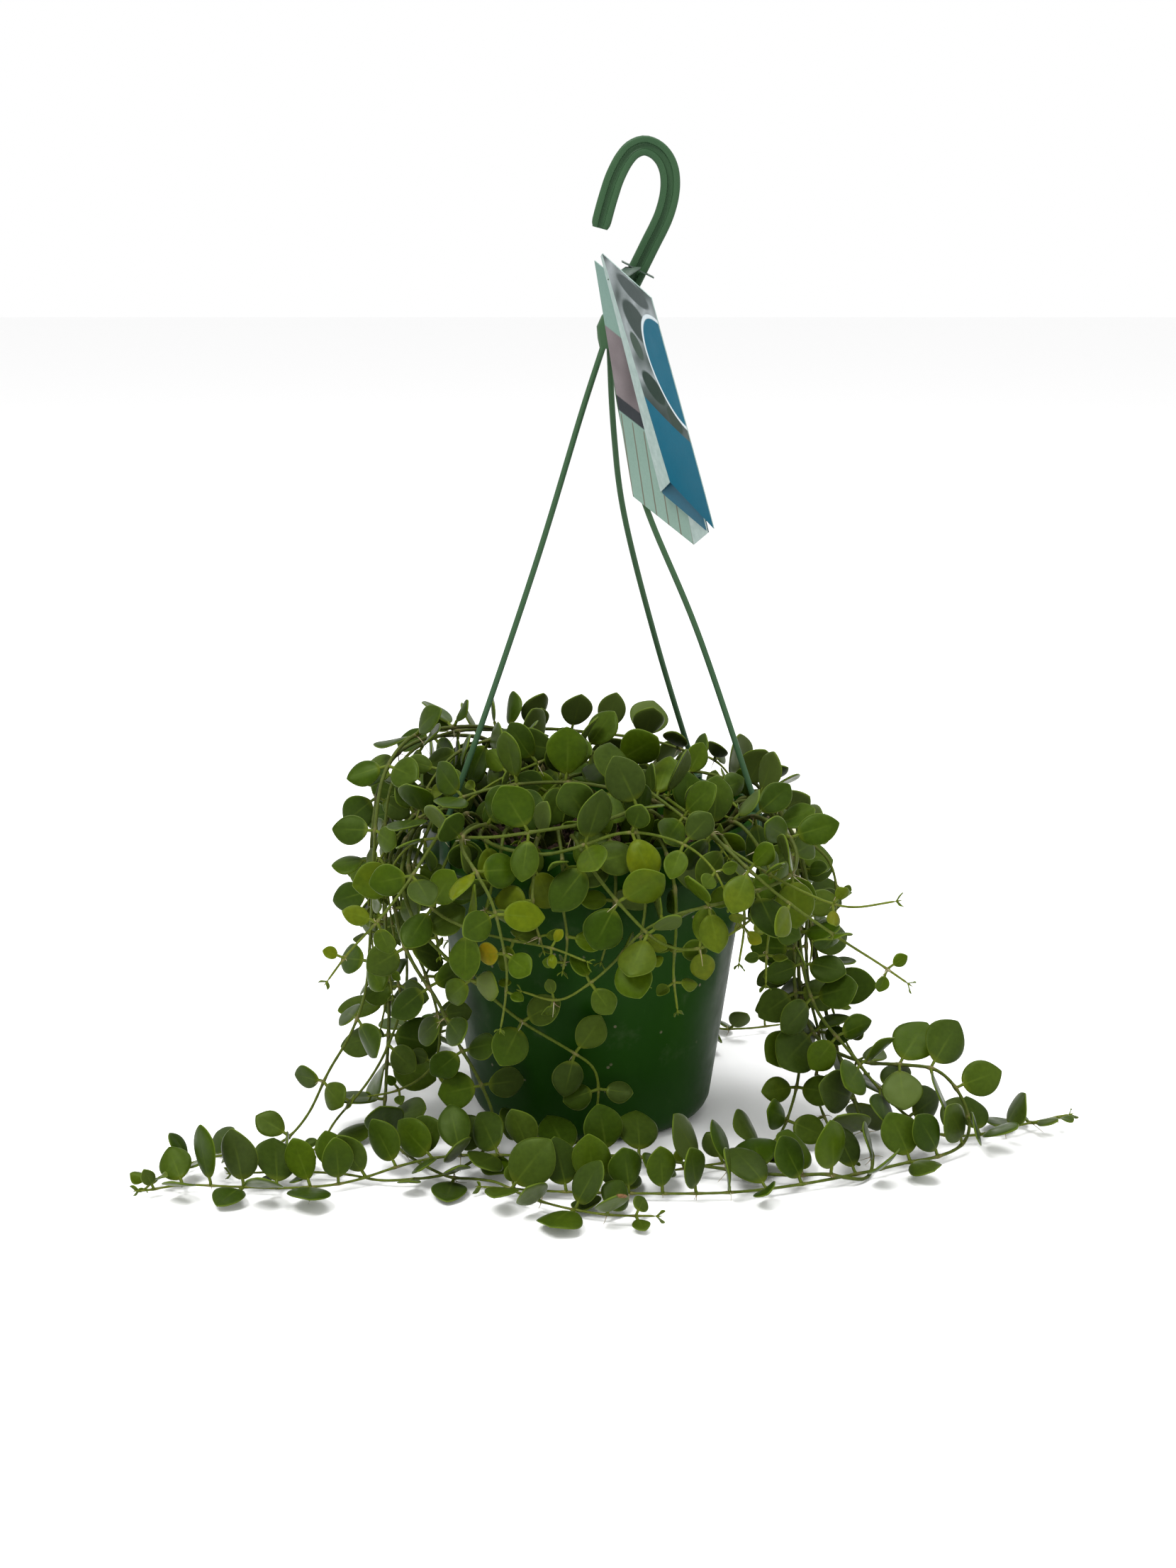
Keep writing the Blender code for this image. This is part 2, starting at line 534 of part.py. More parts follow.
def leaf_nodes(path, spacing, rng):
    """Indices along a stem where pairs of leaves grow."""
    length = (len(path) - 1) * STEM_STEP
    at = spacing * rng.uniform(0.7, 1.0)
    found = []
    while at < length - 4:
        found.append(int(round(at / STEM_STEP)))
        left = (length - at) / length
        at += spacing * rng.uniform(0.85, 1.15) * (0.75 + 0.25 * min(1, left * 4))
    return found


def tree(verts, faces):
    return BVHTree.FromPolygons([Vector(v) for v in verts], faces)


def fixed_trees():
    """Search trees for everything but the plant."""
    flower = [FLOWER_AT + (0, 0, z) for z in (-0.6, 6.8)]
    pot = lathe_mesh([tuple(p) for p in OUTLINE], POT_SIDES)
    trees = [tree(*pot), tree(*tube_mesh(flower, [2.6, 2.6], 6))]
    for name in STRAND_ROUTES:
        path = strand_path(name)
        trees.append(tree(*tube_mesh(path, [STRAND_RADIUS + 0.6] * len(path), 6)))
        a = math.radians(CLIP_ANGLES[name])
        out = np.array((math.cos(a), math.sin(a), 0))
        clip = [out * 77.4 + np.array((0, 0, z)) for z in (117.5, 143.0)]
        trees.append(tree(*tube_mesh(clip, [5.2, 5.2], 4)))
        clip = [out * 66.6 + np.array((0, 0, z)) for z in (127.0, 143.0)]
        trees.append(tree(*tube_mesh(clip, [5.2, 5.2], 4)))
    return trees


def grow_leaves(stems):
    """Leaves of every stem, each in the first of several ways of standing that has room."""
    rng = np.random.default_rng(SEED)
    fixed = fixed_trees()
    stem_trees = {}
    for name, (path, radii) in stems.items():
        thin = list(range(0, len(path), 2))
        if thin[-1] != len(path) - 1:
            thin.append(len(path) - 1)
        stem_trees[name] = tree(*tube_mesh(path[thin], radii[thin] * 1.2 + 0.5, 5))
    placed = []
    centres = np.zeros((0, 3))
    leaves = {}
    for name, spacing, size, _ in VINES:
        path, radii = stems[name]
        tangents = np.gradient(path, axis=0)
        others = [t for n, t in stem_trees.items() if n != name] + fixed
        leaves[name] = []
        nodes = leaf_nodes(path, spacing, rng)
        for number, i in enumerate(nodes):
            tangent = unit(tangents[i])
            light = light_at(path[i])
            side = np.cross(tangent, light)
            if np.linalg.norm(side) < 0.2:
                side = np.cross(tangent, (0.6, 0, 0.8))
            side = unit(side)
            young = min(1.0, 0.38 + 0.32 * (len(nodes) - 1 - number))
            for sign in (1, -1):
                tries = [candidate_leaf(rng, path[i], tangent, side * sign, light, radii[i],
                                        size * young, attempt) for attempt in range(TRIES)]
                if rng.random() < 0.06:
                    continue
                for leaf in tries:
                    verts, faces = leaf_hull(leaf)
                    if verts[:, 2].min() < 0.3:
                        continue
                    far = np.abs(np.arange(len(path)) - i) * STEM_STEP > 4.0
                    blade = np.concatenate([verts[6:len(verts) // 2], verts[len(verts) // 2 + 6:]])
                    gaps = np.linalg.norm(blade[:, None] - path[far], axis=2).min()
                    if gaps < OWN_STEM_GAP:
                        continue
                    middle = verts.mean(0)
                    shape = tree(verts, faces)
                    if any(shape.overlap(t) for t in others):
                        continue
                    close = np.nonzero(np.linalg.norm(centres - middle, axis=1) < 32)[0]
                    if any(shape.overlap(placed[k]) for k in close):
                        continue
                    placed.append(shape)
                    centres = np.vstack([centres, middle])
                    leaf["node"] = i
                    leaves[name].append(leaf)
                    break
    return leaves


# ---------------------------------------------------------------- Blender objects


def clear_scene():
    for obj in list(bpy.data.objects):
        bpy.data.objects.remove(obj)


def material(name, color, roughness):
    mat = bpy.data.materials.new(name)
    mat.use_nodes = True
    shader = mat.node_tree.nodes["Principled BSDF"]
    shader.inputs["Base Color"].default_value = (*color, 1)
    shader.inputs["Roughness"].default_value = roughness
    shader.inputs["Metallic"].default_value = 0.0
    return mat


def add_object(name, verts, faces, mat, smooth=False):
    """An object from vertices in millimetres, with its faces turned outwards."""
    mesh = bpy.data.meshes.new(name)
    bm = bmesh.new()
    points = [bm.verts.new(Vector(v) * MM) for v in verts]
    for face in faces:
        bm.faces.new([points[k] for k in face])
    bmesh.ops.recalc_face_normals(bm, faces=bm.faces)
    if bm.calc_volume(signed=True) < 0:
        bmesh.ops.reverse_faces(bm, faces=bm.faces)
    bm.to_mesh(mesh)
    bm.free()
    obj = bpy.data.objects.new(name, mesh)
    bpy.context.scene.collection.objects.link(obj)
    mesh.materials.append(mat)
    if smooth:
        mesh.shade_smooth()
        mesh.set_sharp_from_angle(angle=math.radians(35))
    return obj


def boolean(obj, other, operation):
    """Keeps `other` as a hidden guide that is cut from, or joined to, `obj`."""
    mod = obj.modifiers.new(other.name, "BOOLEAN")
    mod.object = other
    mod.operation = operation
    other.hide_render = True
    other.display_type = "WIRE"


def make_pot(mat):
    outside = [(wall_radius(z), z) for z in (0.0, 0.8, 2.5, 6.0, BASE_CORNER, 50.0, 90.0, RIM_UNDERSIDE)]
    lip = 1.6
    under = RIM_TOP - 2.0
    rim = [
        (wall_radius(under), under),
        (RIM_RADIUS - lip, under),
        (RIM_RADIUS - lip, RIM_UNDERSIDE),
        (RIM_RADIUS, RIM_UNDERSIDE),
        (RIM_RADIUS, RIM_TOP - 0.8),
        (RIM_RADIUS - 0.8, RIM_TOP),
        (wall_radius(RIM_TOP) - WALL, RIM_TOP),
    ]
    levels = (RIM_UNDERSIDE, 90.0, 50.0, BASE_CORNER, 6.0, 2.5)
    inside = [(wall_radius(z) - WALL, max(z, WALL)) for z in levels]
    profile = [(0, 0)] + outside + rim + inside + [(0, WALL)]
    pot = add_object("pot", *lathe_mesh(profile, POT_SIDES), mat, smooth=True)
    for k in range(DRAIN_HOLES):
        a = 2 * math.pi * k / DRAIN_HOLES
        middle = np.array((DRAIN_CIRCLE * math.cos(a), DRAIN_CIRCLE * math.sin(a), 0))
        ends = [middle + (0, 0, -3), middle + (0, 0, 5)]
        cutter = add_object(f"drain_cutter_{k}", *tube_mesh(ends, [DRAIN_RADIUS] * 2, 12, (1, 0, 0)), mat)
        boolean(pot, cutter, "DIFFERENCE")
    return pot


def make_potting_mix(mat):
    gap = WALL + FIT_GAP
    heights = (2.5, 6.0, BASE_CORNER, 50.0, 90.0, SOIL_EDGE)
    profile = [(0, gap)] + [(wall_radius(z) - gap, max(z, gap)) for z in heights]
    profile += [(r, soil_height(r)) for r in (50.0, 34.0, 17.0)] + [(0, SOIL_CROWN)]
    verts, faces = lathe_mesh(profile, POT_SIDES)
    return add_object("potting_mix", verts, faces, mat, smooth=True)


def hook_section():
    """Half-grooved bar: a rectangle with a channel along its front and its back."""
    w = HOOK_WIDTH / 2
    d = HOOK_DEPTH / 2
    g = GROOVE_WIDTH / 2
    deep = d - GROOVE_DEPTH
    quarter = [(w, d - 1.0), (w - 1.0, d), (g, d), (g, deep)]
    upper = quarter + [(-x, y) for x, y in reversed(quarter)]
    return upper + [(-x, -y) for x, y in upper]


def sweep_flat(route, section):
    """A closed sweep along a route in the XZ plane; the section's first axis lies in that plane."""
    path = np.array([(x, 0.0, z) for x, z in route])
    path = smooth_route(path, 5.0)
    tangents = np.gradient(path, axis=0)
    verts = []
    faces = []
    n = len(section)
    for i, (p, t) in enumerate(zip(path, tangents)):
        t = unit(t)
        across = np.array((t[2], 0, -t[0]))
        verts += [p + across * a + np.array((0, 1, 0)) * b for a, b in section]
        if i:
            s = (i - 1) * n
            faces += [(s + k, s + (k + 1) % n, s + n + (k + 1) % n, s + n + k) for k in range(n)]
    faces.append(tuple(reversed(range(n))))
    faces.append(tuple(range(len(verts) - n, len(verts))))
    return verts, faces


def clip_mesh(angle):
    """A clip that snaps over the rim: outer plate, bridge, inner leg and a toe under the rim's edge."""
    r_in = wall_radius(RIM_TOP - CLIP_LEG) - WALL - 2 * FIT_GAP
    r_out = RIM_RADIUS + FIT_GAP
    low = RIM_UNDERSIDE - FIT_GAP
    outline = [
        (r_out - 1.3, low - 1.5), (r_out + 1.5, low - 1.5), (r_out + 1.5, RIM_TOP + 1.9),
        (r_in - 1.4, RIM_TOP + 1.9), (r_in - 1.4, RIM_TOP - CLIP_LEG), (r_in, RIM_TOP - CLIP_LEG),
        (r_in, RIM_TOP + FIT_GAP), (r_out, RIM_TOP + FIT_GAP), (r_out, low), (r_out - 1.3, low),
    ]
    a = math.radians(angle)
    out = np.array((math.cos(a), math.sin(a), 0))
    across = np.array((-math.sin(a), math.cos(a), 0)) * CLIP_WIDTH / 2
    verts = []
    for sign in (1, -1):
        verts += [out * r + np.array((0, 0, z)) + across * sign for r, z in outline]
    n = len(outline)
    faces = [(k, (k + 1) % n, n + (k + 1) % n, n + k) for k in range(n)]
    faces += [tuple(reversed(range(n))), tuple(range(n, 2 * n))]
    return verts, faces


def make_hanger(mat):
    """Hook, three strands and their rim clips, moulded in one."""
    hanger = add_object("hanger", *sweep_flat(HOOK_ROUTE, hook_section()), mat, smooth=True)
    offsets = ((1.6, 3.0), (-0.2, -1.0), (-0.9, -9.0))
    block = [(JUNCTION[0] + dx, JUNCTION[1], JUNCTION[2] + dz) for dx, dz in offsets]
    junction = add_object("junction_guide", *tube_mesh(block, [5.2, 5.4, 3.4], 8), mat)
    boolean(hanger, junction, "UNION")
    for name in STRAND_ROUTES:
        path = strand_path(name)
        strand = add_object(f"strand_guide_{name}", *tube_mesh(path, [STRAND_RADIUS] * len(path), 6), mat)
        boolean(hanger, strand, "UNION")
        clip = add_object(f"clip_guide_{name}", *clip_mesh(CLIP_ANGLES[name]), mat)
        boolean(hanger, clip, "UNION")
    return hanger


def label_point(panel, s, t):
    """A point on one panel of the card: s runs across it and t down it, both from 0 to 1."""
    top_left, top_right, low_right, low_left = (np.array(c) for c in panel)
    top = top_left + (top_right - top_left) * s
    low = low_left + (low_right - low_left) * s
    curl = max(0.0, t - 0.7) ** 2 * 11 * LABEL_CURL * (0.35 - s)
    return top + (low - top) * t + np.array((0, -1, 0.35)) * curl * 0.5


def eye_mesh():
    """The paper ring that the neck of the hook goes through, square to the neck."""
    along = unit((0.447, 0, 0.894))
    across = np.array((along[2], 0, -along[0]))
    verts = []
    for lift in (-0.5, 0.5):
        for w, d in (EYE_OUTSIDE, EYE_HOLE):
            for a, b in ((1, 1), (-1, 1), (-1, -1), (1, -1)):
                spot = EYE_MIDDLE + across * a * w + np.array((0, b * d, 0))
                verts.append(spot + along * lift * EYE_THICKNESS)
    faces = []
    for k in range(4):
        n = (k + 1) % 4
        faces += [(k, n, 4 + n, 4 + k), (8 + k, 12 + k, 12 + n, 8 + n)]
        faces += [(k, 8 + k, 8 + n, n), (4 + k, 4 + n, 12 + n, 12 + k)]
    return verts, faces


def strap_mesh(start, end):
    """The narrow strip of card between the eye and the top of the back panel."""
    run = unit(end - start)
    width = unit(np.cross(run, (0, 0, 1)))
    up = np.cross(width, run)
    corners = [width * a * 3.5 + up * b * EYE_THICKNESS / 2 for a, b in ((1, 1), (-1, 1), (-1, -1), (1, -1))]
    verts = [start + c for c in corners] + [end + c for c in corners]
    faces = [(k, (k + 1) % 4, 4 + (k + 1) % 4, 4 + k) for k in range(4)] + [(3, 2, 1, 0), (4, 5, 6, 7)]
    return verts, faces


def make_label(mat):
    """The folded card, as one sheet bent back and forth, with a paper eye round the neck of the hook."""
    columns = []
    for number, panel in enumerate(LABEL_PANELS):
        steps = [k / (LABEL_COLUMNS - 1) for k in range(LABEL_COLUMNS)]
        if number == 1:
            steps.reverse()
        columns += [(panel, s) for s in steps]
    rows = [k / LABEL_ROWS for k in range(LABEL_ROWS + 1)]
    verts = [label_point(panel, s, t) for panel, s in columns for t in rows]
    n = len(rows)
    faces = []
    for i in range(len(columns) - 1):
        for j in range(n - 1):
            faces.append((i * n + j, (i + 1) * n + j, (i + 1) * n + j + 1, i * n + j + 1))
    mesh = bpy.data.meshes.new("label")
    mesh.from_pydata([tuple(v * MM) for v in verts], [], faces)
    label = bpy.data.objects.new("label", mesh)
    bpy.context.scene.collection.objects.link(label)
    mesh.materials.append(mat)
    solid = label.modifiers.new("card", "SOLIDIFY")
    solid.thickness = LABEL_THICKNESS * MM
    solid.offset = 0.0
    solid.use_even_offset = True
    boolean(label, add_object("eye_guide", *eye_mesh(), mat), "UNION")
    strap = [EYE_MIDDLE + np.array(EYE_FRONT), label_point(LABEL_PANELS[0], 0.4, 0.012)]
    boolean(label, add_object("strap_guide", *strap_mesh(*strap), mat), "UNION")
    return label


def leaf_rings(leaf):
    """The rings of four corners and the tip that stand for a leaf: two rings, or one on a small leaf."""
    rings = []
    for u in (0.3, 0.74) if leaf["length"] > SMALL_LEAF else (0.45,):
        lift = blade_normal(leaf, u) * LEAF_THICKNESS / 2
        left = blade_point(leaf, u, 0.92)
        right = blade_point(leaf, u, -0.92)
        rings.append((right - lift, left - lift, left + lift, right + lift))
    return rings, blade_point(leaf, 1.0, 0.0)


def bends(path, a, b):
    """Index a, and those between a and b that the stem needs to follow its curve."""
    if b - a < 2:
        return [a]
    chord = unit(path[b] - path[a])
    off = path[a:b + 1] - path[a]
    off = np.linalg.norm(off - np.outer(off @ chord, chord), axis=1)
    if off.max() < STRAIGHT_ENOUGH:
        return [a]
    middle = (a + b) // 2
    return bends(path, a, middle) + bends(path, middle, b)


def stem_stations(path, nodes):
    """Indices of the stem's rings: one each side of every node, and more between where it is long."""
    last = len(path) - 1
    found = {0, last}
    for i in nodes:
        found |= {max(i - 1, 0), min(i + 1, last)}
    stations = sorted(found)
    full = []
    for a, b in zip(stations, stations[1:]):
        full += bends(path, a, b)
    return full + [last]


def make_vine(name, path, radii, leaves, mat):
    """One closed solid: a four-sided stem, with each leaf drawn out of a side of the stem at its node."""
    nodes = sorted({leaf["node"] for leaf in leaves})
    stations = stem_stations(path, nodes)
    tangents = np.gradient(path, axis=0)
    side = unit(np.cross(tangents[0], (0.3, 0.2, 1)))
    mesh_verts = []
    frames = {}
    for i in stations:
        t = unit(tangents[i])
        side = unit(side - t * side.dot(t))
        up = np.cross(t, side)
        frames[i] = (side, up)
        for a, b in ((1, 1), (-1, 1), (-1, -1), (1, -1)):
            mesh_verts.append(path[i] + (side * a + up * b) * radii[i] * 0.8)
    open_sides = {}
    for leaf in leaves:
        before = max(i for i in stations if i < leaf["node"])
        span = stations.index(before)
        side, up = frames[before]
        options = ((0, up), (1, -side), (2, -up), (3, side))
        toward = leaf["base"] - leaf["root"] + leaf["axis"] * 2
        ranked = sorted(options, key=lambda o: -float(toward.dot(o[1])))
        choice = next(k for k, _ in ranked if (span, k) not in open_sides)
        open_sides[(span, choice)] = leaf
    faces = []
    for s in range(len(stations) - 1):
        for k in range(4):
            a = s * 4 + k
            b = s * 4 + (k + 1) % 4
            quad = (a, b, b + 4, a + 4)
            if (s, k) not in open_sides:
                faces.append(quad)
                continue
            rings, tip = leaf_rings(open_sides[(s, k)])
            previous = quad
            for ring in rings:
                turned = match_ring(mesh_verts, previous, ring)
                start = len(mesh_verts)
                mesh_verts += turned
                now = tuple(range(start, start + 4))
                faces += [(previous[m], previous[(m + 1) % 4], now[(m + 1) % 4], now[m]) for m in range(4)]
                previous = now
            mesh_verts.append(tip)
            faces += [(previous[m], previous[(m + 1) % 4], len(mesh_verts) - 1) for m in range(4)]
    faces += [(3, 2, 1, 0), tuple(range(4 * len(stations) - 4, 4 * len(stations)))]
    return add_object(name, mesh_verts, faces, mat)


def winding(ring):
    """The way a ring of four corners faces."""
    return np.cross(ring[2] - ring[0], ring[3] - ring[1])


def match_ring(verts, previous, ring):
    """The ring's corners in the order that follows the ring before it and twists least."""
    origin = [np.array(verts[k]) for k in previous]
    middle = sum(origin) / 4
    target = sum(ring) / 4
    along = target - middle
    same = (winding(origin).dot(along) > 0) == (winding(ring).dot(along) > 0)
    order = ring if same else ring[::-1]
    best = None
    for shift in range(4):
        option = [order[(m + shift) % 4] for m in range(4)]
        cost = sum(np.linalg.norm(unit(o - middle) - unit(p - target)) for o, p in zip(origin, option))
        if best is None or cost < best[0]:
            best = (cost, option)
    return best[1]


def make_flower(mat):
    """A small urn-shaped flower standing on its short stalk beside the right shoulder stem."""
    profile = [(0, 0), (0.5, 0.1), (0.5, 1.6), (1.6, 2.4), (1.9, 3.8), (1.1, 5.6), (0.8, 6.2), (0, 6.0)]
    verts, faces = lathe_mesh(profile, 10)
    return add_object("flower", [np.array(v) + FLOWER_AT for v in verts], faces, mat, smooth=True)


def main():
    clear_scene()
    pot_green = material("pot_plastic", (0.011, 0.045, 0.006), 0.42)
    hanger_green = material("hanger_plastic", (0.05, 0.11, 0.05), 0.4)
    soil = material("potting_mix", (0.035, 0.022, 0.014), 0.95)
    card = material("label_card", (0.16, 0.3, 0.32), 0.45)
    leaf_green = material("leaf", (0.07, 0.13, 0.02), 0.45)
    petal = material("petal", (0.6, 0.6, 0.4), 0.5)
    make_pot(pot_green)
    make_potting_mix(soil)
    make_hanger(hanger_green)
    make_label(card)
    make_flower(petal)
    stems = settled_stems()
    leaves = grow_leaves(stems)
    for name, (path, radii) in stems.items():
        make_vine(name, path, radii, leaves[name], leaf_green)


main()
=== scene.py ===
"""The looks of a potted trailing hoya: stems and leaves, green plastic pot and hanger, and a plain card."""

import math

import bmesh
import bpy
import numpy as np
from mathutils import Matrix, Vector
from mathutils.bvhtree import BVHTree


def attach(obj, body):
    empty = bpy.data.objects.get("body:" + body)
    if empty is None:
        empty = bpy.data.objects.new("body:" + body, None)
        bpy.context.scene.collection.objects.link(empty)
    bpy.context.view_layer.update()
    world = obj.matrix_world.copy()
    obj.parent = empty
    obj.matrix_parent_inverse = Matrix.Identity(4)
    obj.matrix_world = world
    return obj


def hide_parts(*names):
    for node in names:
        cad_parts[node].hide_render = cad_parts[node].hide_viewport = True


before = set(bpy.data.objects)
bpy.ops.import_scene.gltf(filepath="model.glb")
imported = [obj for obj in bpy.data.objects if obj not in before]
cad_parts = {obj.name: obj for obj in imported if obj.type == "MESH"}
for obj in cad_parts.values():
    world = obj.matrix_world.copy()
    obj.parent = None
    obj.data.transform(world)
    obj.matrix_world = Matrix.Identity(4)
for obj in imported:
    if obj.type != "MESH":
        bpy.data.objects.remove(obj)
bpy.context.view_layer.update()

# The layout below is the same as in the part's source, so every stem and leaf lies where its CAD node lies.
# Only the card differs: its panels stand a little further apart than in the CAD.

MM = 0.001
FIT_GAP = 0.3

# Pot, in millimetres: a 15 cm hanging pot, turned from a profile
POT_SIDES = 36
RIM_RADIUS = 75.0
RIM_TOP = 140.0
RIM_UNDERSIDE = 122.0
WALL_TOP_RADIUS = 70.6
WALL_BASE_RADIUS = 54.5
BASE_CORNER = 11.0
WALL = 1.8
DRAIN_HOLES = 6
DRAIN_RADIUS = 4.0
DRAIN_CIRCLE = 32.0
SOIL_EDGE = 121.0
SOIL_CROWN = 125.0

# Hanger, in millimetres
CLIP_ANGLES = {"right": -15.0, "back": 50.0, "left": 214.0}
CLIP_WIDTH = 7.0
CLIP_LEG = 9.0
STRAND_RADIUS = 1.3
HOOK_WIDTH = 8.2
HOOK_DEPTH = 6.0
GROOVE_WIDTH = 2.6
GROOVE_DEPTH = 1.5
JUNCTION = (7.5, 0.0, 351.0)
HOOK_ROUTE = (
    (7.5, 351.0),
    (15.5, 367.0),
    (24.0, 384.0),
    (30.5, 397.5),
    (33.0, 409.5),
    (31.0, 419.5),
    (24.0, 425.5),
    (16.5, 423.5),
    (10.5, 414.5),
    (6.5, 403.0),
    (3.5, 392.0),
)
STRAND_ROUTES = {
    "right": ((8.5, -1.0, 346.0), (13.0, -2.0, 314.0), (23.5, -6.0, 275.0), (46.5, -12.0, 220.0)),
    "back": ((7.5, 1.5, 346.0), (9.5, 8.0, 308.0), (14.5, 18.0, 268.0), (29.5, 35.0, 208.0)),
    "left": ((6.0, -1.0, 346.0), (-4.0, -7.0, 316.0), (-22.0, -19.0, 258.0), (-43.0, -33.0, 197.0)),
}

# Care label: one folded card, given by the corners of its three panels
LABEL_THICKNESS = 0.4
LABEL_CURL = 7.0
EYE_MIDDLE = np.array((19.5, 0.0, 375.0))
EYE_FRONT = (-2.0, -5.2, 1.0)
EYE_OUTSIDE = (7.5, 7.0)
EYE_HOLE = (4.7, 3.5)
EYE_THICKNESS = 0.5
STRAP_FROM = (0.4, 0.012)
CARD_PANELS = (
    ((1.3, -10.0, 379.0), (22.0, -44.5, 363.8), (43.0, -38.0, 264.0), (18.0, -3.0, 279.0)),
    ((3.9, -18.0, 381.1), (22.8, -49.0, 365.5), (48.3, -54.0, 271.5), (29.1, -29.5, 284.3)),
    ((4.5, -21.5, 382.3), (24.0, -54.0, 366.0), (50.1, -62.0, 274.2), (32.6, -42.0, 290.0)),
)

FLOWER_AT = np.array((88.0, -16.0, 130.0))

# Plant, in millimetres
STEM_RADIUS = 1.1
TIP_RADIUS = 0.5
STEM_GAP = 1.5
STEM_STEP = 2.0
SETTLE_ROUNDS = 60
REACH = 14.0
PETIOLE = 2.6
LEAF_THICKNESS = 1.3
TIP_STARTS = 0.83
LEAF_CLEARANCE = 0.55
OWN_STEM_GAP = 1.9
TRIES = 30
SEED = 11
FLOOR_GAP = 0.6
RIM_PASS = RIM_TOP + 3.2
RIM_CROSSED = 77.2
PUSH_SHARE = 0.7
EASING = 0.25
LEAF_ABOVE_FLOOR = 0.3
SAME_PLACE = 4.0
NEIGHBOURHOOD = 32
MISSING_SHARE = 0.06
EASY_TRIES = 14

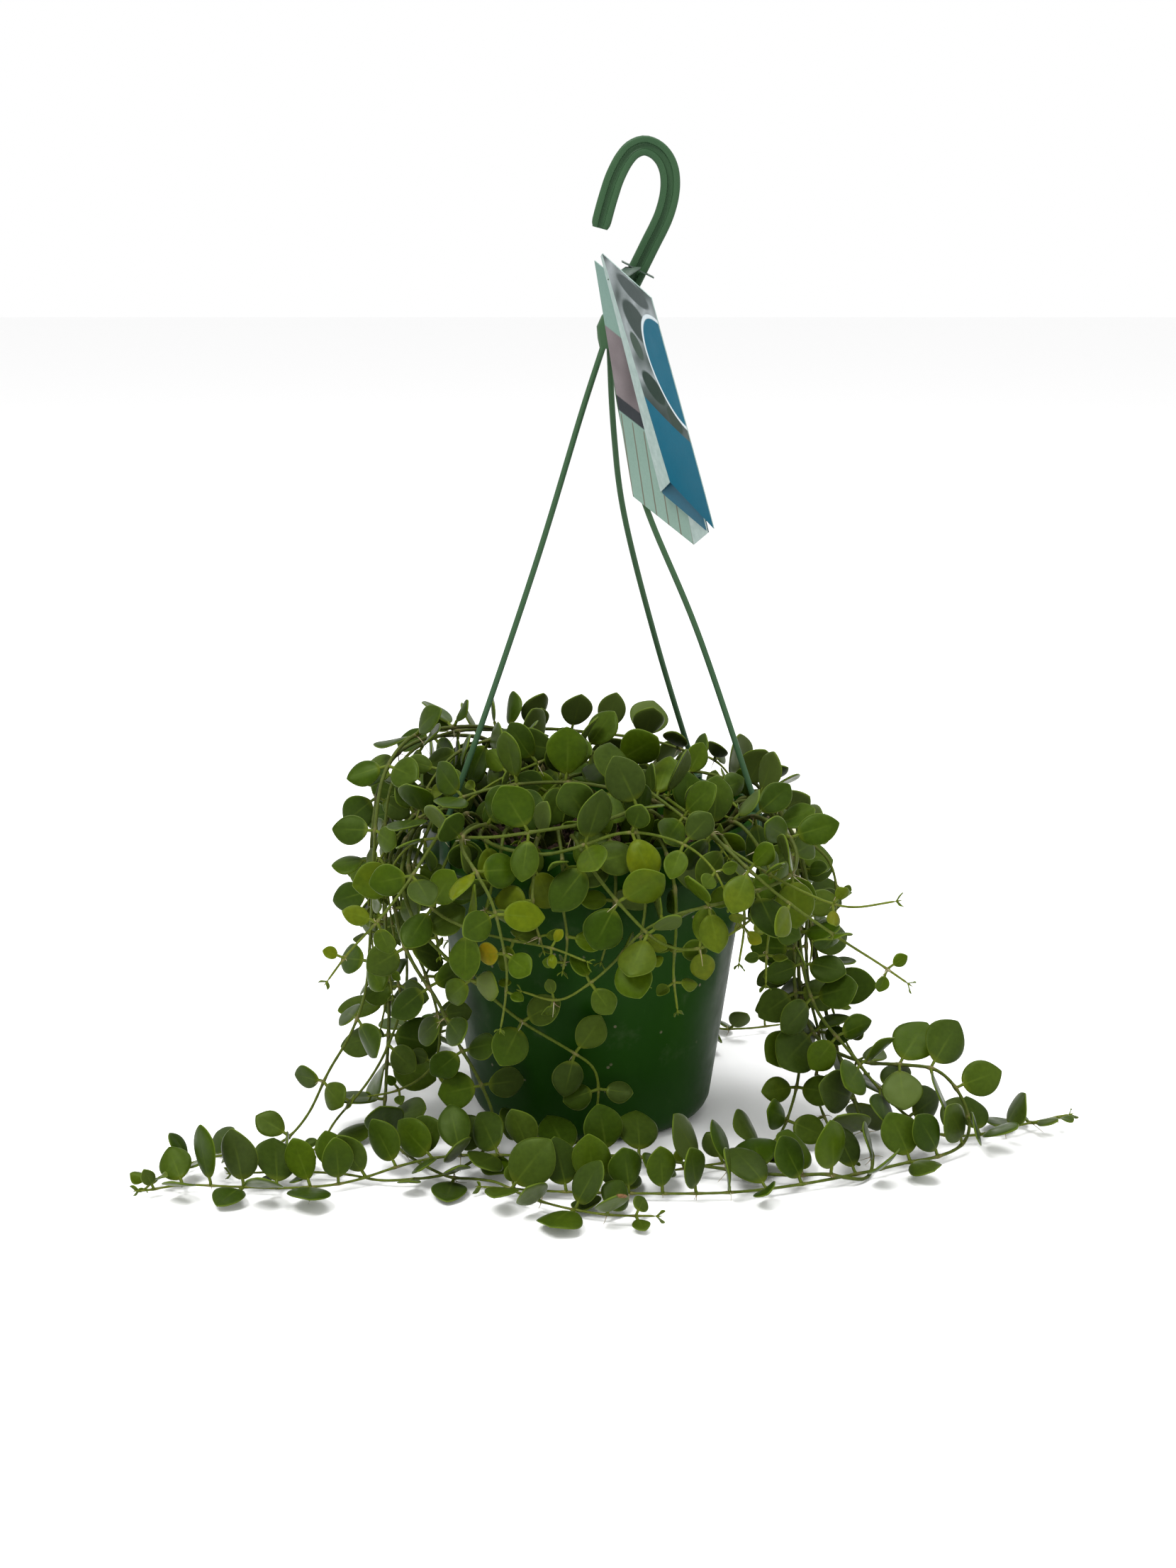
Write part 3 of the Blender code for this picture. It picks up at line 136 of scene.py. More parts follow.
# name, distance between pairs of leaves, leaf length, route
VINES = (
    # long runners that cross the front of the crown
    ("vine_cross_long", 26, 20, (
        (-38, 6, 127), (-34, 14, 150), (-22, 18, 164), (6, -10, 166), (19, -35, 161), (31, -50, 155),
        (46, -65, 147), (66, -80, 137), (85, -88, 128), (105, -90, 121), (125, -92, 124))),
    ("vine_swag_upper", 23, 19, (
        (47, -14, 127), (40, -30, 144), (27, -40, 153), (13, -45, 159), (-10, -46, 163), (-40, -55, 163),
        (-66, -52, 153), (-82, -48, 141), (-92, -46, 126), (-95, -46, 108))),
    ("vine_swag_middle", 24, 20, (
        (38, -38, 127), (30, -56, 149), (20, -67, 157), (6, -78, 155), (-25, -83, 151), (-42, -80, 148),
        (-58, -73, 146), (-74, -66, 142), (-84, -60, 130), (-88, -60, 116))),
    ("vine_swag_lower", 22, 20, (
        (-44, -38, 127), (-47, -62, 143), (-38, -78, 143), (-20, -85, 142), (-5, -87, 146), (11, -85, 151),
        (25, -83, 150), (40, -84, 145), (50, -90, 137), (57, -94, 124))),
    ("vine_left_runner", 22, 18, (
        (-40, -22, 127), (-50, -46, 149), (-58, -62, 149), (-67, -78, 142), (-77, -88, 129), (-87, -93, 117),
        (-100, -95, 103), (-109, -96, 91))),
    ("vine_right_runner", 25, 18, (
        (30, -32, 127), (42, -58, 149), (54, -77, 144), (66, -87, 135), (80, -92, 124), (102, -95, 109),
        (118, -97, 99), (130, -99, 91))),
    ("vine_front_loop", 21, 20, (
        (-6, -46, 127), (-8, -74, 147), (2, -92, 135), (17, -97, 118), (29, -96, 107), (43, -94, 104),
        (58, -91, 110), (70, -87, 118))),
    ("vine_front_swag", 21, 19, (
        (52, -18, 127), (68, -42, 147), (84, -60, 142), (84, -74, 131), (64, -89, 126), (48, -95, 123),
        (33, -97, 119), (19, -96, 110), (9, -94, 98), (-1, -91, 88), (-14, -89, 80), (-29, -89, 84))),
    ("vine_front_left_drop", 19, 18, (
        (-30, -42, 127), (-42, -66, 149), (-54, -80, 146), (-47, -93, 136), (-41, -98, 126), (-37, -98, 110),
        (-35, -95, 95), (-36, -92, 80), (-38, -90, 68))),
    ("vine_left_swag", 20, 19, (
        (-55, -28, 127), (-70, -48, 144), (-77, -66, 132), (-67, -80, 118), (-52, -87, 111), (-35, -90, 107),
        (-17, -92, 104), (-2, -95, 99))),
    ("vine_pot_front", 27, 17, (
        (-48, -6, 127), (-66, -36, 147), (-80, -62, 131), (-74, -80, 112), (-62, -85, 99),
        (-50, -83, 87), (-31, -78, 68), (-9, -73, 52), (1, -70, 43), (3, -68, 30), (0, -67, 15),
        (-8, -70, 6), (-20, -84, 3))),
    ("vine_fringe_centre_left", 15, 19, (
        (-18, -48, 127), (-22, -70, 146), (-24, -87, 134), (-24, -90, 118), (-20, -89, 102))),
    ("vine_fringe_centre", 15, 19, (
        (6, -50, 127), (8, -72, 144), (10, -84, 130), (8, -88, 112), (4, -86, 96))),
    ("vine_fringe_centre_right", 15, 19, (
        (22, -46, 127), (28, -70, 145), (34, -83, 130), (35, -88, 112), (34, -88, 92), (36, -84, 74))),
    ("vine_fringe_right", 15, 19, (
        (40, -36, 127), (52, -58, 145), (62, -70, 130), (64, -76, 110), (62, -76, 92))),
    ("vine_fringe_inner_left", 15, 19, (
        (-10, -40, 127), (-14, -66, 148), (-12, -82, 138), (-12, -87, 122), (-10, -88, 106), (-12, -86, 92))),
    ("vine_fringe_inner_right", 15, 19, (
        (16, -40, 127), (18, -64, 148), (22, -84, 136), (22, -92, 120), (20, -92, 104), (22, -90, 88))),
    ("vine_fringe_mid_left", 15, 19, (
        (-26, -44, 127), (-36, -66, 148), (-40, -82, 134), (-44, -86, 118), (-48, -84, 104), (-50, -80, 90))),
    ("vine_fringe_far_right", 16, 18, (
        (46, -30, 127), (60, -50, 147), (74, -62, 132), (76, -68, 114), (74, -70, 96), (74, -68, 80))),
    ("vine_fringe_far_left", 16, 18, (
        (-46, -20, 127), (-62, -40, 148), (-74, -52, 134), (-76, -62, 116), (-74, -66, 100))),
    ("vine_fringe_left", 20, 17, (
        (-40, -34, 127), (-50, -54, 145), (-62, -66, 132), (-66, -72, 112), (-64, -72, 94))),
    # left shoulder
    ("vine_shoulder_left", 28, 17, (
        (-22, 30, 127), (-24, 34, 158), (-42, 30, 169), (-64, 11, 174), (-80, -12, 174), (-89, -32, 164),
        (-92, -42, 148), (-93, -48, 126), (-95, -50, 98), (-98, -47, 70), (-105, -46, 50),
        (-115, -48, 33), (-124, -53, 15), (-135, -60, 5), (-150, -68, 4), (-166, -76, 4), (-180, -92, 4),
        (-186, -108, 4))),
    ("vine_shoulder_inner", 24, 15, (
        (-6, 42, 127), (-24, 44, 160), (-56, 24, 170), (-77, -7, 169), (-86, -26, 159), (-89, -38, 140),
        (-88, -45, 118), (-85, -48, 94))),
    ("vine_shoulder_outer", 27, 16, (
        (-26, 42, 127), (-42, 42, 158), (-66, 26, 167), (-84, 2, 166), (-92, -18, 156), (-95, -31, 137),
        (-95, -36, 112), (-89, -34, 86), (-84, -31, 60), (-90, -35, 40), (-99, -41, 25), (-112, -52, 12),
        (-118, -64, 5), (-128, -76, 4))),
    ("vine_left_curl", 21, 13, (
        (-52, 2, 127), (-70, -12, 147), (-86, -24, 128), (-83, -34, 100), (-73, -38, 76), (-67, -39, 54),
        (-68, -40, 37), (-75, -42, 28), (-86, -45, 23), (-96, -48, 22))),
    ("vine_left_drop", 24, 15, (
        (-50, -10, 127), (-70, -26, 147), (-84, -40, 136), (-88, -48, 116), (-88, -52, 92), (-86, -52, 70))),
    ("vine_left_back_drop", 25, 15, (
        (-52, 14, 127), (-72, 14, 146), (-86, 6, 136), (-92, -6, 114), (-92, -12, 90), (-90, -18, 66),
        (-94, -22, 44))),
    ("vine_left_tumble", 22, 15, (
        (-54, 4, 127), (-72, 0, 149), (-86, -12, 144), (-95, -24, 126), (-97, -34, 104), (-95, -38, 84))),
    # right side
    ("vine_right_shoulder", 22, 13, (
        (50, 6, 127), (67, 1, 143), (80, -6, 137), (92, -11, 130), (104, -15, 121), (108, -20, 109),
        (107, -26, 94))),
    ("vine_right_front_drop", 20, 17, (
        (48, -26, 127), (68, -34, 145), (82, -38, 136), (88, -34, 118), (90, -32, 98), (89, -31, 76),
        (91, -33, 52), (92, -38, 34), (88, -48, 18), (80, -62, 7), (64, -76, 4), (46, -84, 4),
        (30, -90, 4))),
    ("vine_right_drop", 20, 16, (
        (54, -10, 127), (73, -18, 145), (88, -22, 133), (95, -22, 110), (95, -21, 84), (97, -22, 60),
        (102, -26, 38), (99, -38, 22), (104, -52, 9), (109, -66, 4), (112, -80, 4))),
    ("vine_right_reach", 17, 18, (
        (52, 10, 127), (74, 4, 144), (86, -6, 130), (92, -18, 108), (91, -30, 84), (98, -40, 60),
        (112, -47, 43), (125, -50, 27), (139, -51, 13), (152, -53, 6), (170, -51, 5), (186, -42, 5),
        (200, -32, 4), (214, -27, 5))),
    ("vine_floor_right_sweep", 14.5, 21, (
        (46, 20, 127), (73, 20, 142), (86, 10, 126), (93, -6, 100), (92, -22, 70), (95, -31, 52),
        (103, -36, 41), (119, -40, 35), (136, -44, 35), (151, -48, 34), (161, -52, 24), (165, -56, 11),
        (160, -64, 5), (148, -74, 4), (135, -80, 4), (115, -91, 4), (86, -104, 4), (57, -112, 4),
        (22, -113, 4), (-14, -111, 4), (-46, -106, 4))),
    ("vine_floor_front_sweep", 15, 21.5, (
        (40, 34, 127), (68, 36, 142), (88, 26, 120), (98, 6, 84), (106, -20, 46), (116, -54, 18),
        (120, -82, 5), (108, -97, 4), (83, -97, 5), (60, -93, 6), (36, -89, 8), (14, -87, 10),
        (-10, -88, 10), (-45, -86, 10), (-64, -86, 9), (-80, -90, 7), (-102, -101, 4), (-123, -107, 4),
        (-148, -106, 4), (-171, -104, 4), (-188, -110, 4))),
    ("vine_right_outer_drop", 17, 17, (
        (54, 18, 127), (76, 16, 144), (88, 10, 126), (96, 2, 102), (100, -6, 80), (104, -12, 58),
        (112, -18, 40), (122, -24, 24))),
    ("vine_right_tumble", 22, 16, (
        (56, 0, 127), (74, -6, 145), (84, -10, 132), (92, -14, 114), (96, -18, 94), (96, -22, 76))),
    ("vine_floor_left", 17, 17, (
        (-52, -16, 127), (-68, -38, 146), (-84, -54, 130), (-82, -66, 106), (-75, -74, 91),
        (-65, -73, 74), (-58, -69, 56), (-48, -67, 36), (-42, -68, 18), (-46, -76, 8), (-60, -94, 5),
        (-82, -98, 4), (-104, -92, 4), (-128, -90, 4), (-152, -92, 4))),
    ("vine_floor_front_short", 15.5, 21.5, (
        (-50, 30, 127), (-74, 36, 144), (-90, 30, 120), (-95, 18, 84), (-92, 0, 46), (-92, -24, 18),
        (-90, -50, 6), (-72, -84, 5), (-46, -102, 5), (-20, -122, 4), (4, -134, 4), (26, -136, 4))),
    # crown
    ("vine_crown_mound", 15, 18, (
        (10, 20, 127), (6, 22, 152), (-8, 10, 158), (-14, -10, 158), (0, -30, 156), (12, -44, 150))),
    ("vine_crown_front_right", 15, 19, (
        (30, -10, 127), (28, -24, 150), (36, -44, 152), (48, -58, 146), (58, -68, 136))),
    ("vine_crown_arch_back", 18, 19, (
        (-40, 26, 127), (-46, 38, 156), (-28, 46, 165), (0, 50, 163), (30, 55, 158), (50, 50, 154),
        (61, 44, 148), (68, 40, 136))),
    ("vine_crown_left", 15, 18, (
        (-10, 8, 127), (-22, 10, 160), (-40, 4, 170), (-58, -10, 168), (-70, -28, 158), (-76, -40, 142))),
    ("vine_crown_centre", 15, 19, (
        (4, 4, 127), (-4, 2, 158), (-10, -14, 170), (-22, -30, 168), (-40, -38, 162), (-56, -40, 152))),
    ("vine_crown_front", 15, 18, (
        (14, -8, 127), (8, -20, 156), (-8, -30, 162), (-22, -52, 156), (-30, -68, 142))),
    ("vine_crown_right", 17, 17, (
        (22, 10, 127), (26, 2, 152), (44, -12, 156), (60, -26, 150), (72, -40, 141))),
    ("vine_crown_back_left", 20, 17, (
        (-24, 20, 127), (-34, 24, 152), (-54, 34, 156), (-72, 34, 148), (-84, 28, 130), (-88, 20, 108))),
    ("vine_crown_back_right", 20, 15, (
        (26, 26, 127), (38, 28, 148), (54, 22, 150), (70, 8, 146), (82, -6, 138))),
    # back
    ("vine_back_left_drop", 22, 18, (
        (-36, 40, 127), (-54, 54, 145), (-70, 66, 126), (-72, 70, 98), (-68, 66, 70), (-68, 64, 44))),
    ("vine_back_centre_drop", 22, 18, (
        (-6, 54, 127), (-10, 74, 146), (-14, 90, 124), (-14, 90, 96), (-8, 84, 66), (-10, 80, 40))),
    ("vine_back_right_drop", 22, 18, (
        (22, 50, 127), (32, 70, 146), (40, 84, 124), (44, 84, 94), (42, 78, 64), (48, 74, 34), (58, 80, 10),
        (74, 90, 4), (94, 96, 4))),
    ("vine_back_floor_left", 26, 18, (
        (-46, 30, 127), (-68, 46, 145), (-84, 56, 122), (-90, 58, 84), (-88, 60, 46), (-90, 66, 16),
        (-84, 80, 4), (-62, 94, 4), (-36, 102, 4), (-8, 106, 4))),
    ("vine_back_swag", 21, 18, (
        (-20, 50, 127), (-30, 72, 145), (-24, 88, 134), (0, 96, 124), (26, 94, 122), (50, 84, 124),
        (68, 66, 122), (78, 50, 108))),
    ("vine_back_right_swag", 22, 16, (
        (44, 24, 127), (66, 30, 146), (80, 36, 132), (88, 32, 108), (90, 24, 84), (90, 20, 60))),
)


# ---------------------------------------------------------------- general helpers


SQUARE = ((1, 1), (-1, 1), (-1, -1), (1, -1))


def unit(v):
    v = np.asarray(v, float)
    return v / max(np.linalg.norm(v), 1e-9)


def smooth_route(points, step):
    """Points every `step` along a Catmull-Rom curve through the given points."""
    p = np.array(points, float)
    p = np.vstack([2 * p[0] - p[1], p, 2 * p[-1] - p[-2]])
    dense = []
    for i in range(1, len(p) - 2):
        for t in np.linspace(0, 1, 24, endpoint=False):
            dense.append(0.5 * (
                2 * p[i] + (p[i + 1] - p[i - 1]) * t
                + (2 * p[i - 1] - 5 * p[i] + 4 * p[i + 1] - p[i + 2]) * t ** 2
                + (3 * p[i] - p[i - 1] - 3 * p[i + 1] + p[i + 2]) * t ** 3))
    dense.append(p[-2])
    dense = np.array(dense)
    length = np.concatenate([[0], np.cumsum(np.linalg.norm(np.diff(dense, axis=0), axis=1))])
    count = max(4, int(round(length[-1] / step)) + 1)
    at = np.linspace(0, length[-1], count)
    return np.stack([np.interp(at, length, dense[:, k]) for k in range(3)], 1)


def band(a, b, size):
    """Faces between two rings of `size` vertices that start at a and b."""
    return [(a + k, a + (k + 1) % size, b + (k + 1) % size, b + k) for k in range(size)]


def caps(size, count):
    """The two end faces of a sweep of `count` vertices in rings of `size`."""
    return [tuple(reversed(range(size))), tuple(range(count - size, count))]


def tube_mesh(path, radii, sides, start_side=None):
    """Vertices and faces of a closed tube with a steady frame along a path."""
    path = np.array(path, float)
    tangents = np.gradient(path, axis=0)
    side = unit(np.cross(tangents[0], start_side if start_side is not None else (0.3, 0.2, 1)))
    verts = []
    faces = []
    for i, (p, t, r) in enumerate(zip(path, tangents, radii)):
        t = unit(t)
        side = unit(side - t * side.dot(t))
        up = np.cross(t, side)
        for k in range(sides):
            a = 2 * math.pi * (k + 0.5) / sides
            verts.append(p + r * (side * math.cos(a) + up * math.sin(a)))
        if i:
            faces += band(len(verts) - 2 * sides, len(verts) - sides, sides)
    return verts, faces + caps(sides, len(verts))


def lathe_mesh(profile, sides):
    """A closed turned solid from a closed profile of (radius, height); points at radius 0 are poles."""
    verts = []
    rings = []
    for r, z in profile:
        if r == 0:
            rings.append([len(verts)] * sides)
            verts.append((0, 0, z))
            continue
        rings.append(list(range(len(verts), len(verts) + sides)))
        for k in range(sides):
            a = 2 * math.pi * k / sides
            verts.append((r * math.cos(a), r * math.sin(a), z))
    faces = []
    for a, b in zip(rings, rings[1:]):
        for k in range(sides):
            n = (k + 1) % sides
            corners = []
            for v in (a[k], a[n], b[n], b[k]):
                if v not in corners:
                    corners.append(v)
            if len(corners) > 2:
                faces.append(tuple(corners))
    return verts, faces


# ---------------------------------------------------------------- outlines shared by the pieces


def wall_radius(z):
    """Outside radius of the pot's wall, in millimetres."""
    if z < BASE_CORNER:
        drop = BASE_CORNER - z
        return WALL_BASE_RADIUS - BASE_CORNER + math.sqrt(max(BASE_CORNER ** 2 - drop ** 2, 0))
    return WALL_BASE_RADIUS + (WALL_TOP_RADIUS - WALL_BASE_RADIUS) * (
        (z - BASE_CORNER) / (RIM_UNDERSIDE - BASE_CORNER))


def soil_height(r):
    return SOIL_CROWN - (SOIL_CROWN - SOIL_EDGE) * min(1.0, r / 68.0) ** 2


def solid_outline():
    """Outer boundary, in (radius, height), of the pot and the potting mix together."""
    return np.array(
        [(0, SOIL_CROWN), (34, soil_height(34)), (wall_radius(SOIL_EDGE) - WALL, SOIL_EDGE),
         (wall_radius(RIM_TOP) - WALL, RIM_TOP),
         (RIM_RADIUS, RIM_TOP), (RIM_RADIUS, RIM_UNDERSIDE), (WALL_TOP_RADIUS, RIM_UNDERSIDE)]
        + [(wall_radius(z), z) for z in (90, 50, BASE_CORNER, 6, 2.5, 0.8, 0.1)] + [(0, 0)], float)


OUTLINE = solid_outline()


def outline_distance(points):
    """Signed distance from each point to the pot and mix, and the direction away from them."""
    r = np.hypot(points[:, 0], points[:, 1])
    q = np.stack([r, points[:, 2]], 1)
    a = OUTLINE[:-1]
    b = OUTLINE[1:]
    edge = b - a
    t = ((q[:, None] - a) * edge).sum(2) / (edge ** 2).sum(1)
    near = a + edge * np.clip(t, 0, 1)[:, :, None]
    away = q[:, None] - near
    dist = np.linalg.norm(away, axis=2)
    k = dist.argmin(1)
    rows = np.arange(len(q))
    dist = dist[rows, k]
    away = away[rows, k]
    crossings = (a[:, 1] > q[:, None, 1]) != (b[:, 1] > q[:, None, 1])
    at = a[:, 0] + (q[:, None, 1] - a[:, 1]) / np.where(edge[:, 1] == 0, 1e-9, edge[:, 1]) * edge[:, 0]
    inside = (crossings & (q[:, None, 0] < at)).sum(1) % 2 == 1
    sign = np.where(inside, -1.0, 1.0)
    flat = away / np.maximum(dist, 1e-6)[:, None] * sign[:, None]
    radial = points[:, :2] / np.maximum(r, 1e-6)[:, None]
    return dist * sign, np.concatenate([radial * flat[:, :1], flat[:, 1:]], 1)


def clip_top(name):
    a = math.radians(CLIP_ANGLES[name])
    return np.array(((RIM_RADIUS + 1.0) * math.cos(a), (RIM_RADIUS + 1.0) * math.sin(a), RIM_TOP + 2.0))


def strand_path(name):
    return smooth_route([*STRAND_ROUTES[name], clip_top(name)], 12.0)


# ---------------------------------------------------------------- where the stems and leaves go


def over_the_rim(path):
    """Raises the stretch of a stem that crosses the rim, so that it passes above it."""
    r = np.hypot(path[:, 0], path[:, 1])
    ramp = np.interp(r, (56, 67, RIM_CROSSED), (126, RIM_PASS, RIM_PASS))
    crossing = (r < RIM_CROSSED) & (path[:, 2] > RIM_UNDERSIDE)
    lifted = path.copy()
    lifted[:, 2] = np.where(crossing, np.maximum(path[:, 2], ramp), path[:, 2])
    return lifted


def settled_stems():
    """Each stem's path, moved clear of the pot, the floor, the hanger and the stems before it."""
    rods = np.vstack([smooth_route([*STRAND_ROUTES[n], clip_top(n)], 1.5) for n in STRAND_ROUTES])
    clips = []
    for angle in CLIP_ANGLES.values():
        a = math.radians(angle)
        for r in (66.5, 70.0, 73.5, 77.0):
            for z in (119.0, 124.0, 129.0, 134.0, 139.0, 142.5):
                clips.append((r * math.cos(a), r * math.sin(a), z))
    petals = [FLOWER_AT + (0, 0, z) for z in (0.5, 3.0, 5.5)]
    blocks = np.vstack([rods, clips, petals])
    block_radii = np.repeat((2.0, 4.2, 2.6), (len(rods), len(clips), len(petals)))
    stems = {}
    for name, _, _, route in VINES:
        path = over_the_rim(smooth_route(route, STEM_STEP))
        radii = np.linspace(STEM_RADIUS, TIP_RADIUS, len(path))
        shift = np.zeros_like(path)
        near = np.zeros(len(blocks), bool)
        near[0] = True
        for p in path[::3]:
            near |= (np.abs(blocks - p) < REACH).all(1)
        local = blocks[near]
        local_radii = block_radii[near]
        rows = np.arange(len(path))
        for _ in range(SETTLE_ROUNDS):
            now = path + shift
            dist, away = outline_distance(now)
            push = away * np.clip(radii + STEM_GAP - dist, 0, None)[:, None]
            push[:, 2] += np.clip(radii + FLOOR_GAP - now[:, 2], 0, None)
            gap = now[:, None] - local
            far = np.linalg.norm(gap, axis=2)
            want = local_radii + radii[:, None] + STEM_GAP
            k = (far - want).argmin(1)
            short = np.clip((want - far)[rows, k], 0, None)
            push += gap[rows, k] / np.maximum(far[rows, k], 0.05)[:, None] * short[:, None]
            shift += PUSH_SHARE * push
            shift[1:-1] += EASING * (shift[:-2] + shift[2:] - 2 * shift[1:-1])
        path = path + shift
        stems[name] = (path, radii)
        blocks = np.vstack([blocks, path])
        block_radii = np.concatenate([block_radii, radii])
    return stems


def light_at(p):
    """The way a leaf's upper face turns at a place: up, outwards, and at the front to the front."""
    radial = unit((p[0], p[1], 0))
    front = np.clip((40 - p[1]) / 80, 0, 1)
    low = np.clip((40 - p[2]) / 40, 0, 1)
    out = np.array(radial) * 0.6 + np.array((0, -0.7, 0)) * front
    return unit(out * (1 - 0.35 * low) + np.array((0, 0, 0.45 + 0.5 * low)))


def blade_point(leaf, u, v):
    """A point on the blade's middle surface: u runs from base to tip, and v from -1 to 1 across."""
    circle = math.sqrt(max(0.0, 1 - (2 * u - 1) ** 2))
    half = leaf["width"] / 2 * (0.92 * circle + 0.12 * math.sin(math.pi * u))
    if u > TIP_STARTS:
        half *= ((1 - u) / (1 - TIP_STARTS)) ** 0.5
    turn = leaf["bend"] * u
    if abs(leaf["bend"]) > 1e-3:
        along = leaf["length"] * math.sin(turn) / leaf["bend"]
        rise = -leaf["length"] * (1 - math.cos(turn)) / leaf["bend"]
    else:
        along = leaf["length"] * u
        rise = 0.0
    rise += leaf["cup"] * (v * half / (leaf["width"] / 2)) ** 2
    side = np.cross(leaf["normal"], leaf["axis"])
    return leaf["base"] + leaf["axis"] * along + leaf["normal"] * rise + side * half * v


def blade_normal(leaf, u):
    turn = leaf["bend"] * u
    return leaf["normal"] * math.cos(turn) + leaf["axis"] * math.sin(turn)


def leaf_hull(leaf):
    """Points and faces of a stalk and blade with some clearance round them, to test their room."""
    rows = (0.06, 0.3, 0.55, 0.8, 1.0)
    cols = (-1.0, 0.0, 1.0)
    half = LEAF_THICKNESS / 2 + LEAF_CLEARANCE
    grown = dict(leaf, width=leaf["width"] + 0.8)
    side = np.cross(leaf["normal"], leaf["axis"])
    stalk = leaf["root"] + unit(leaf["base"] - leaf["root"]) * (STEM_RADIUS + 0.4)
    verts = []
    for sign in (1, -1):
        verts += [stalk + side * 2.2 * v + leaf["normal"] * 1.3 * sign for v in cols]
        for u in rows:
            normal = blade_normal(leaf, u)
            verts += [blade_point(grown, u, v) + normal * half * sign for v in cols]
    count = len(rows) + 1
    n = 3 * count
    faces = []
    for i in range(count - 1):
        for a in (3 * i, 3 * i + 1):
            quad = (a, a + 1, a + 4, a + 3)
            faces.append(quad)
            faces.append(tuple(n + k for k in reversed(quad)))
    rim = [3 * i for i in range(count)] + [3 * count - 2] + [3 * i + 2 for i in reversed(range(count))] + [1]
    for a, b in zip(rim, rim[1:] + rim[:1]):
        faces.append((a, b, b + n, a + n))
    return np.array(verts), faces


def candidate_leaf(rng, centre, tangent, side, light, radius, size, attempt):
    """One way that a leaf could stand at a node of the stem."""
    spread = 0.35 + 0.05 * attempt
    facing = unit(light + rng.normal(0, spread, 3) * 0.85)
    roll = rng.normal(0, 0.45 + 0.07 * attempt)
    out = side * math.cos(roll) + np.cross(tangent, side) * math.sin(roll)
    axis = unit(out + tangent * rng.uniform(0.0, 0.5) + facing * rng.uniform(-0.1, 0.45))
    normal = facing - axis * facing.dot(axis)
    if np.linalg.norm(normal) < 0.2:
        normal = np.cross(axis, tangent)
    normal = unit(normal)
    length = size * rng.uniform(0.86, 1.1) * (1.0 if attempt < EASY_TRIES else 0.8)
    return {
        "base": centre + out * radius + axis * PETIOLE,
        "root": centre,
        "axis": axis,
        "normal": normal,
        "length": length,
        "width": length * rng.uniform(0.68, 0.93),
        "bend": rng.uniform(-0.15, 0.5),
        "cup": rng.uniform(-2.0, 1.2),
    }


def leaf_nodes(path, spacing, rng):
    """Indices along a stem where pairs of leaves grow."""
    length = (len(path) - 1) * STEM_STEP
    at = spacing * rng.uniform(0.7, 1.0)
    found = []
    while at < length - 4:
        found.append(int(round(at / STEM_STEP)))
        left = (length - at) / length
        at += spacing * rng.uniform(0.85, 1.15) * (0.75 + 0.25 * min(1, left * 4))
    return found


def tree(verts, faces):
    return BVHTree.FromPolygons([Vector(v) for v in verts], faces)


def fixed_trees():
    """Search trees for everything but the plant."""
    flower = [FLOWER_AT + (0, 0, z) for z in (-0.6, 6.8)]
    pot = lathe_mesh([tuple(p) for p in OUTLINE], POT_SIDES)
    trees = [tree(*pot), tree(*tube_mesh(flower, [2.6, 2.6], 6))]
    for name in STRAND_ROUTES:
        path = strand_path(name)
        trees.append(tree(*tube_mesh(path, [STRAND_RADIUS + 0.6] * len(path), 6)))
        a = math.radians(CLIP_ANGLES[name])
        out = np.array((math.cos(a), math.sin(a), 0))
        clip = [out * 77.4 + np.array((0, 0, z)) for z in (117.5, 143.0)]
        trees.append(tree(*tube_mesh(clip, [5.2, 5.2], 4)))
        clip = [out * 66.6 + np.array((0, 0, z)) for z in (127.0, 143.0)]
        trees.append(tree(*tube_mesh(clip, [5.2, 5.2], 4)))
    return trees


def grow_leaves(stems):
    """Leaves of every stem, each in the first of several ways of standing that has room."""
    rng = np.random.default_rng(SEED)
    fixed = fixed_trees()
    stem_trees = {}
    for name, (path, radii) in stems.items():
        thin = list(range(0, len(path), 2))
        if thin[-1] != len(path) - 1:
            thin.append(len(path) - 1)
        stem_trees[name] = tree(*tube_mesh(path[thin], radii[thin] * 1.2 + 0.5, 5))
    placed = []
    centres = np.zeros((0, 3))
    leaves = {}
    for name, spacing, size, _ in VINES:
        path, radii = stems[name]
        tangents = np.gradient(path, axis=0)
        others = [t for n, t in stem_trees.items() if n != name] + fixed
        leaves[name] = []
        nodes = leaf_nodes(path, spacing, rng)
        for number, i in enumerate(nodes):
            tangent = unit(tangents[i])
            light = light_at(path[i])
            side = np.cross(tangent, light)
            if np.linalg.norm(side) < 0.2:
                side = np.cross(tangent, (0.6, 0, 0.8))
            side = unit(side)
            young = min(1.0, 0.38 + 0.32 * (len(nodes) - 1 - number))
            for sign in (1, -1):
                tries = [candidate_leaf(rng, path[i], tangent, side * sign, light, radii[i],
                                        size * young, attempt) for attempt in range(TRIES)]
                if rng.random() < MISSING_SHARE:
                    continue
                for leaf in tries:
                    verts, faces = leaf_hull(leaf)
                    if verts[:, 2].min() < LEAF_ABOVE_FLOOR:
                        continue
                    far = np.abs(np.arange(len(path)) - i) * STEM_STEP > SAME_PLACE
                    blade = np.concatenate([verts[6:len(verts) // 2], verts[len(verts) // 2 + 6:]])
                    gaps = np.linalg.norm(blade[:, None] - path[far], axis=2).min()
                    if gaps < OWN_STEM_GAP:
                        continue
                    middle = verts.mean(0)
                    shape = tree(verts, faces)
                    if any(shape.overlap(t) for t in others):
                        continue
                    close = np.nonzero(np.linalg.norm(centres - middle, axis=1) < NEIGHBOURHOOD)[0]
                    if any(shape.overlap(placed[k]) for k in close):
                        continue
                    placed.append(shape)
                    centres = np.vstack([centres, middle])
                    leaf["node"] = i
                    leaves[name].append(leaf)
                    break
    return leaves


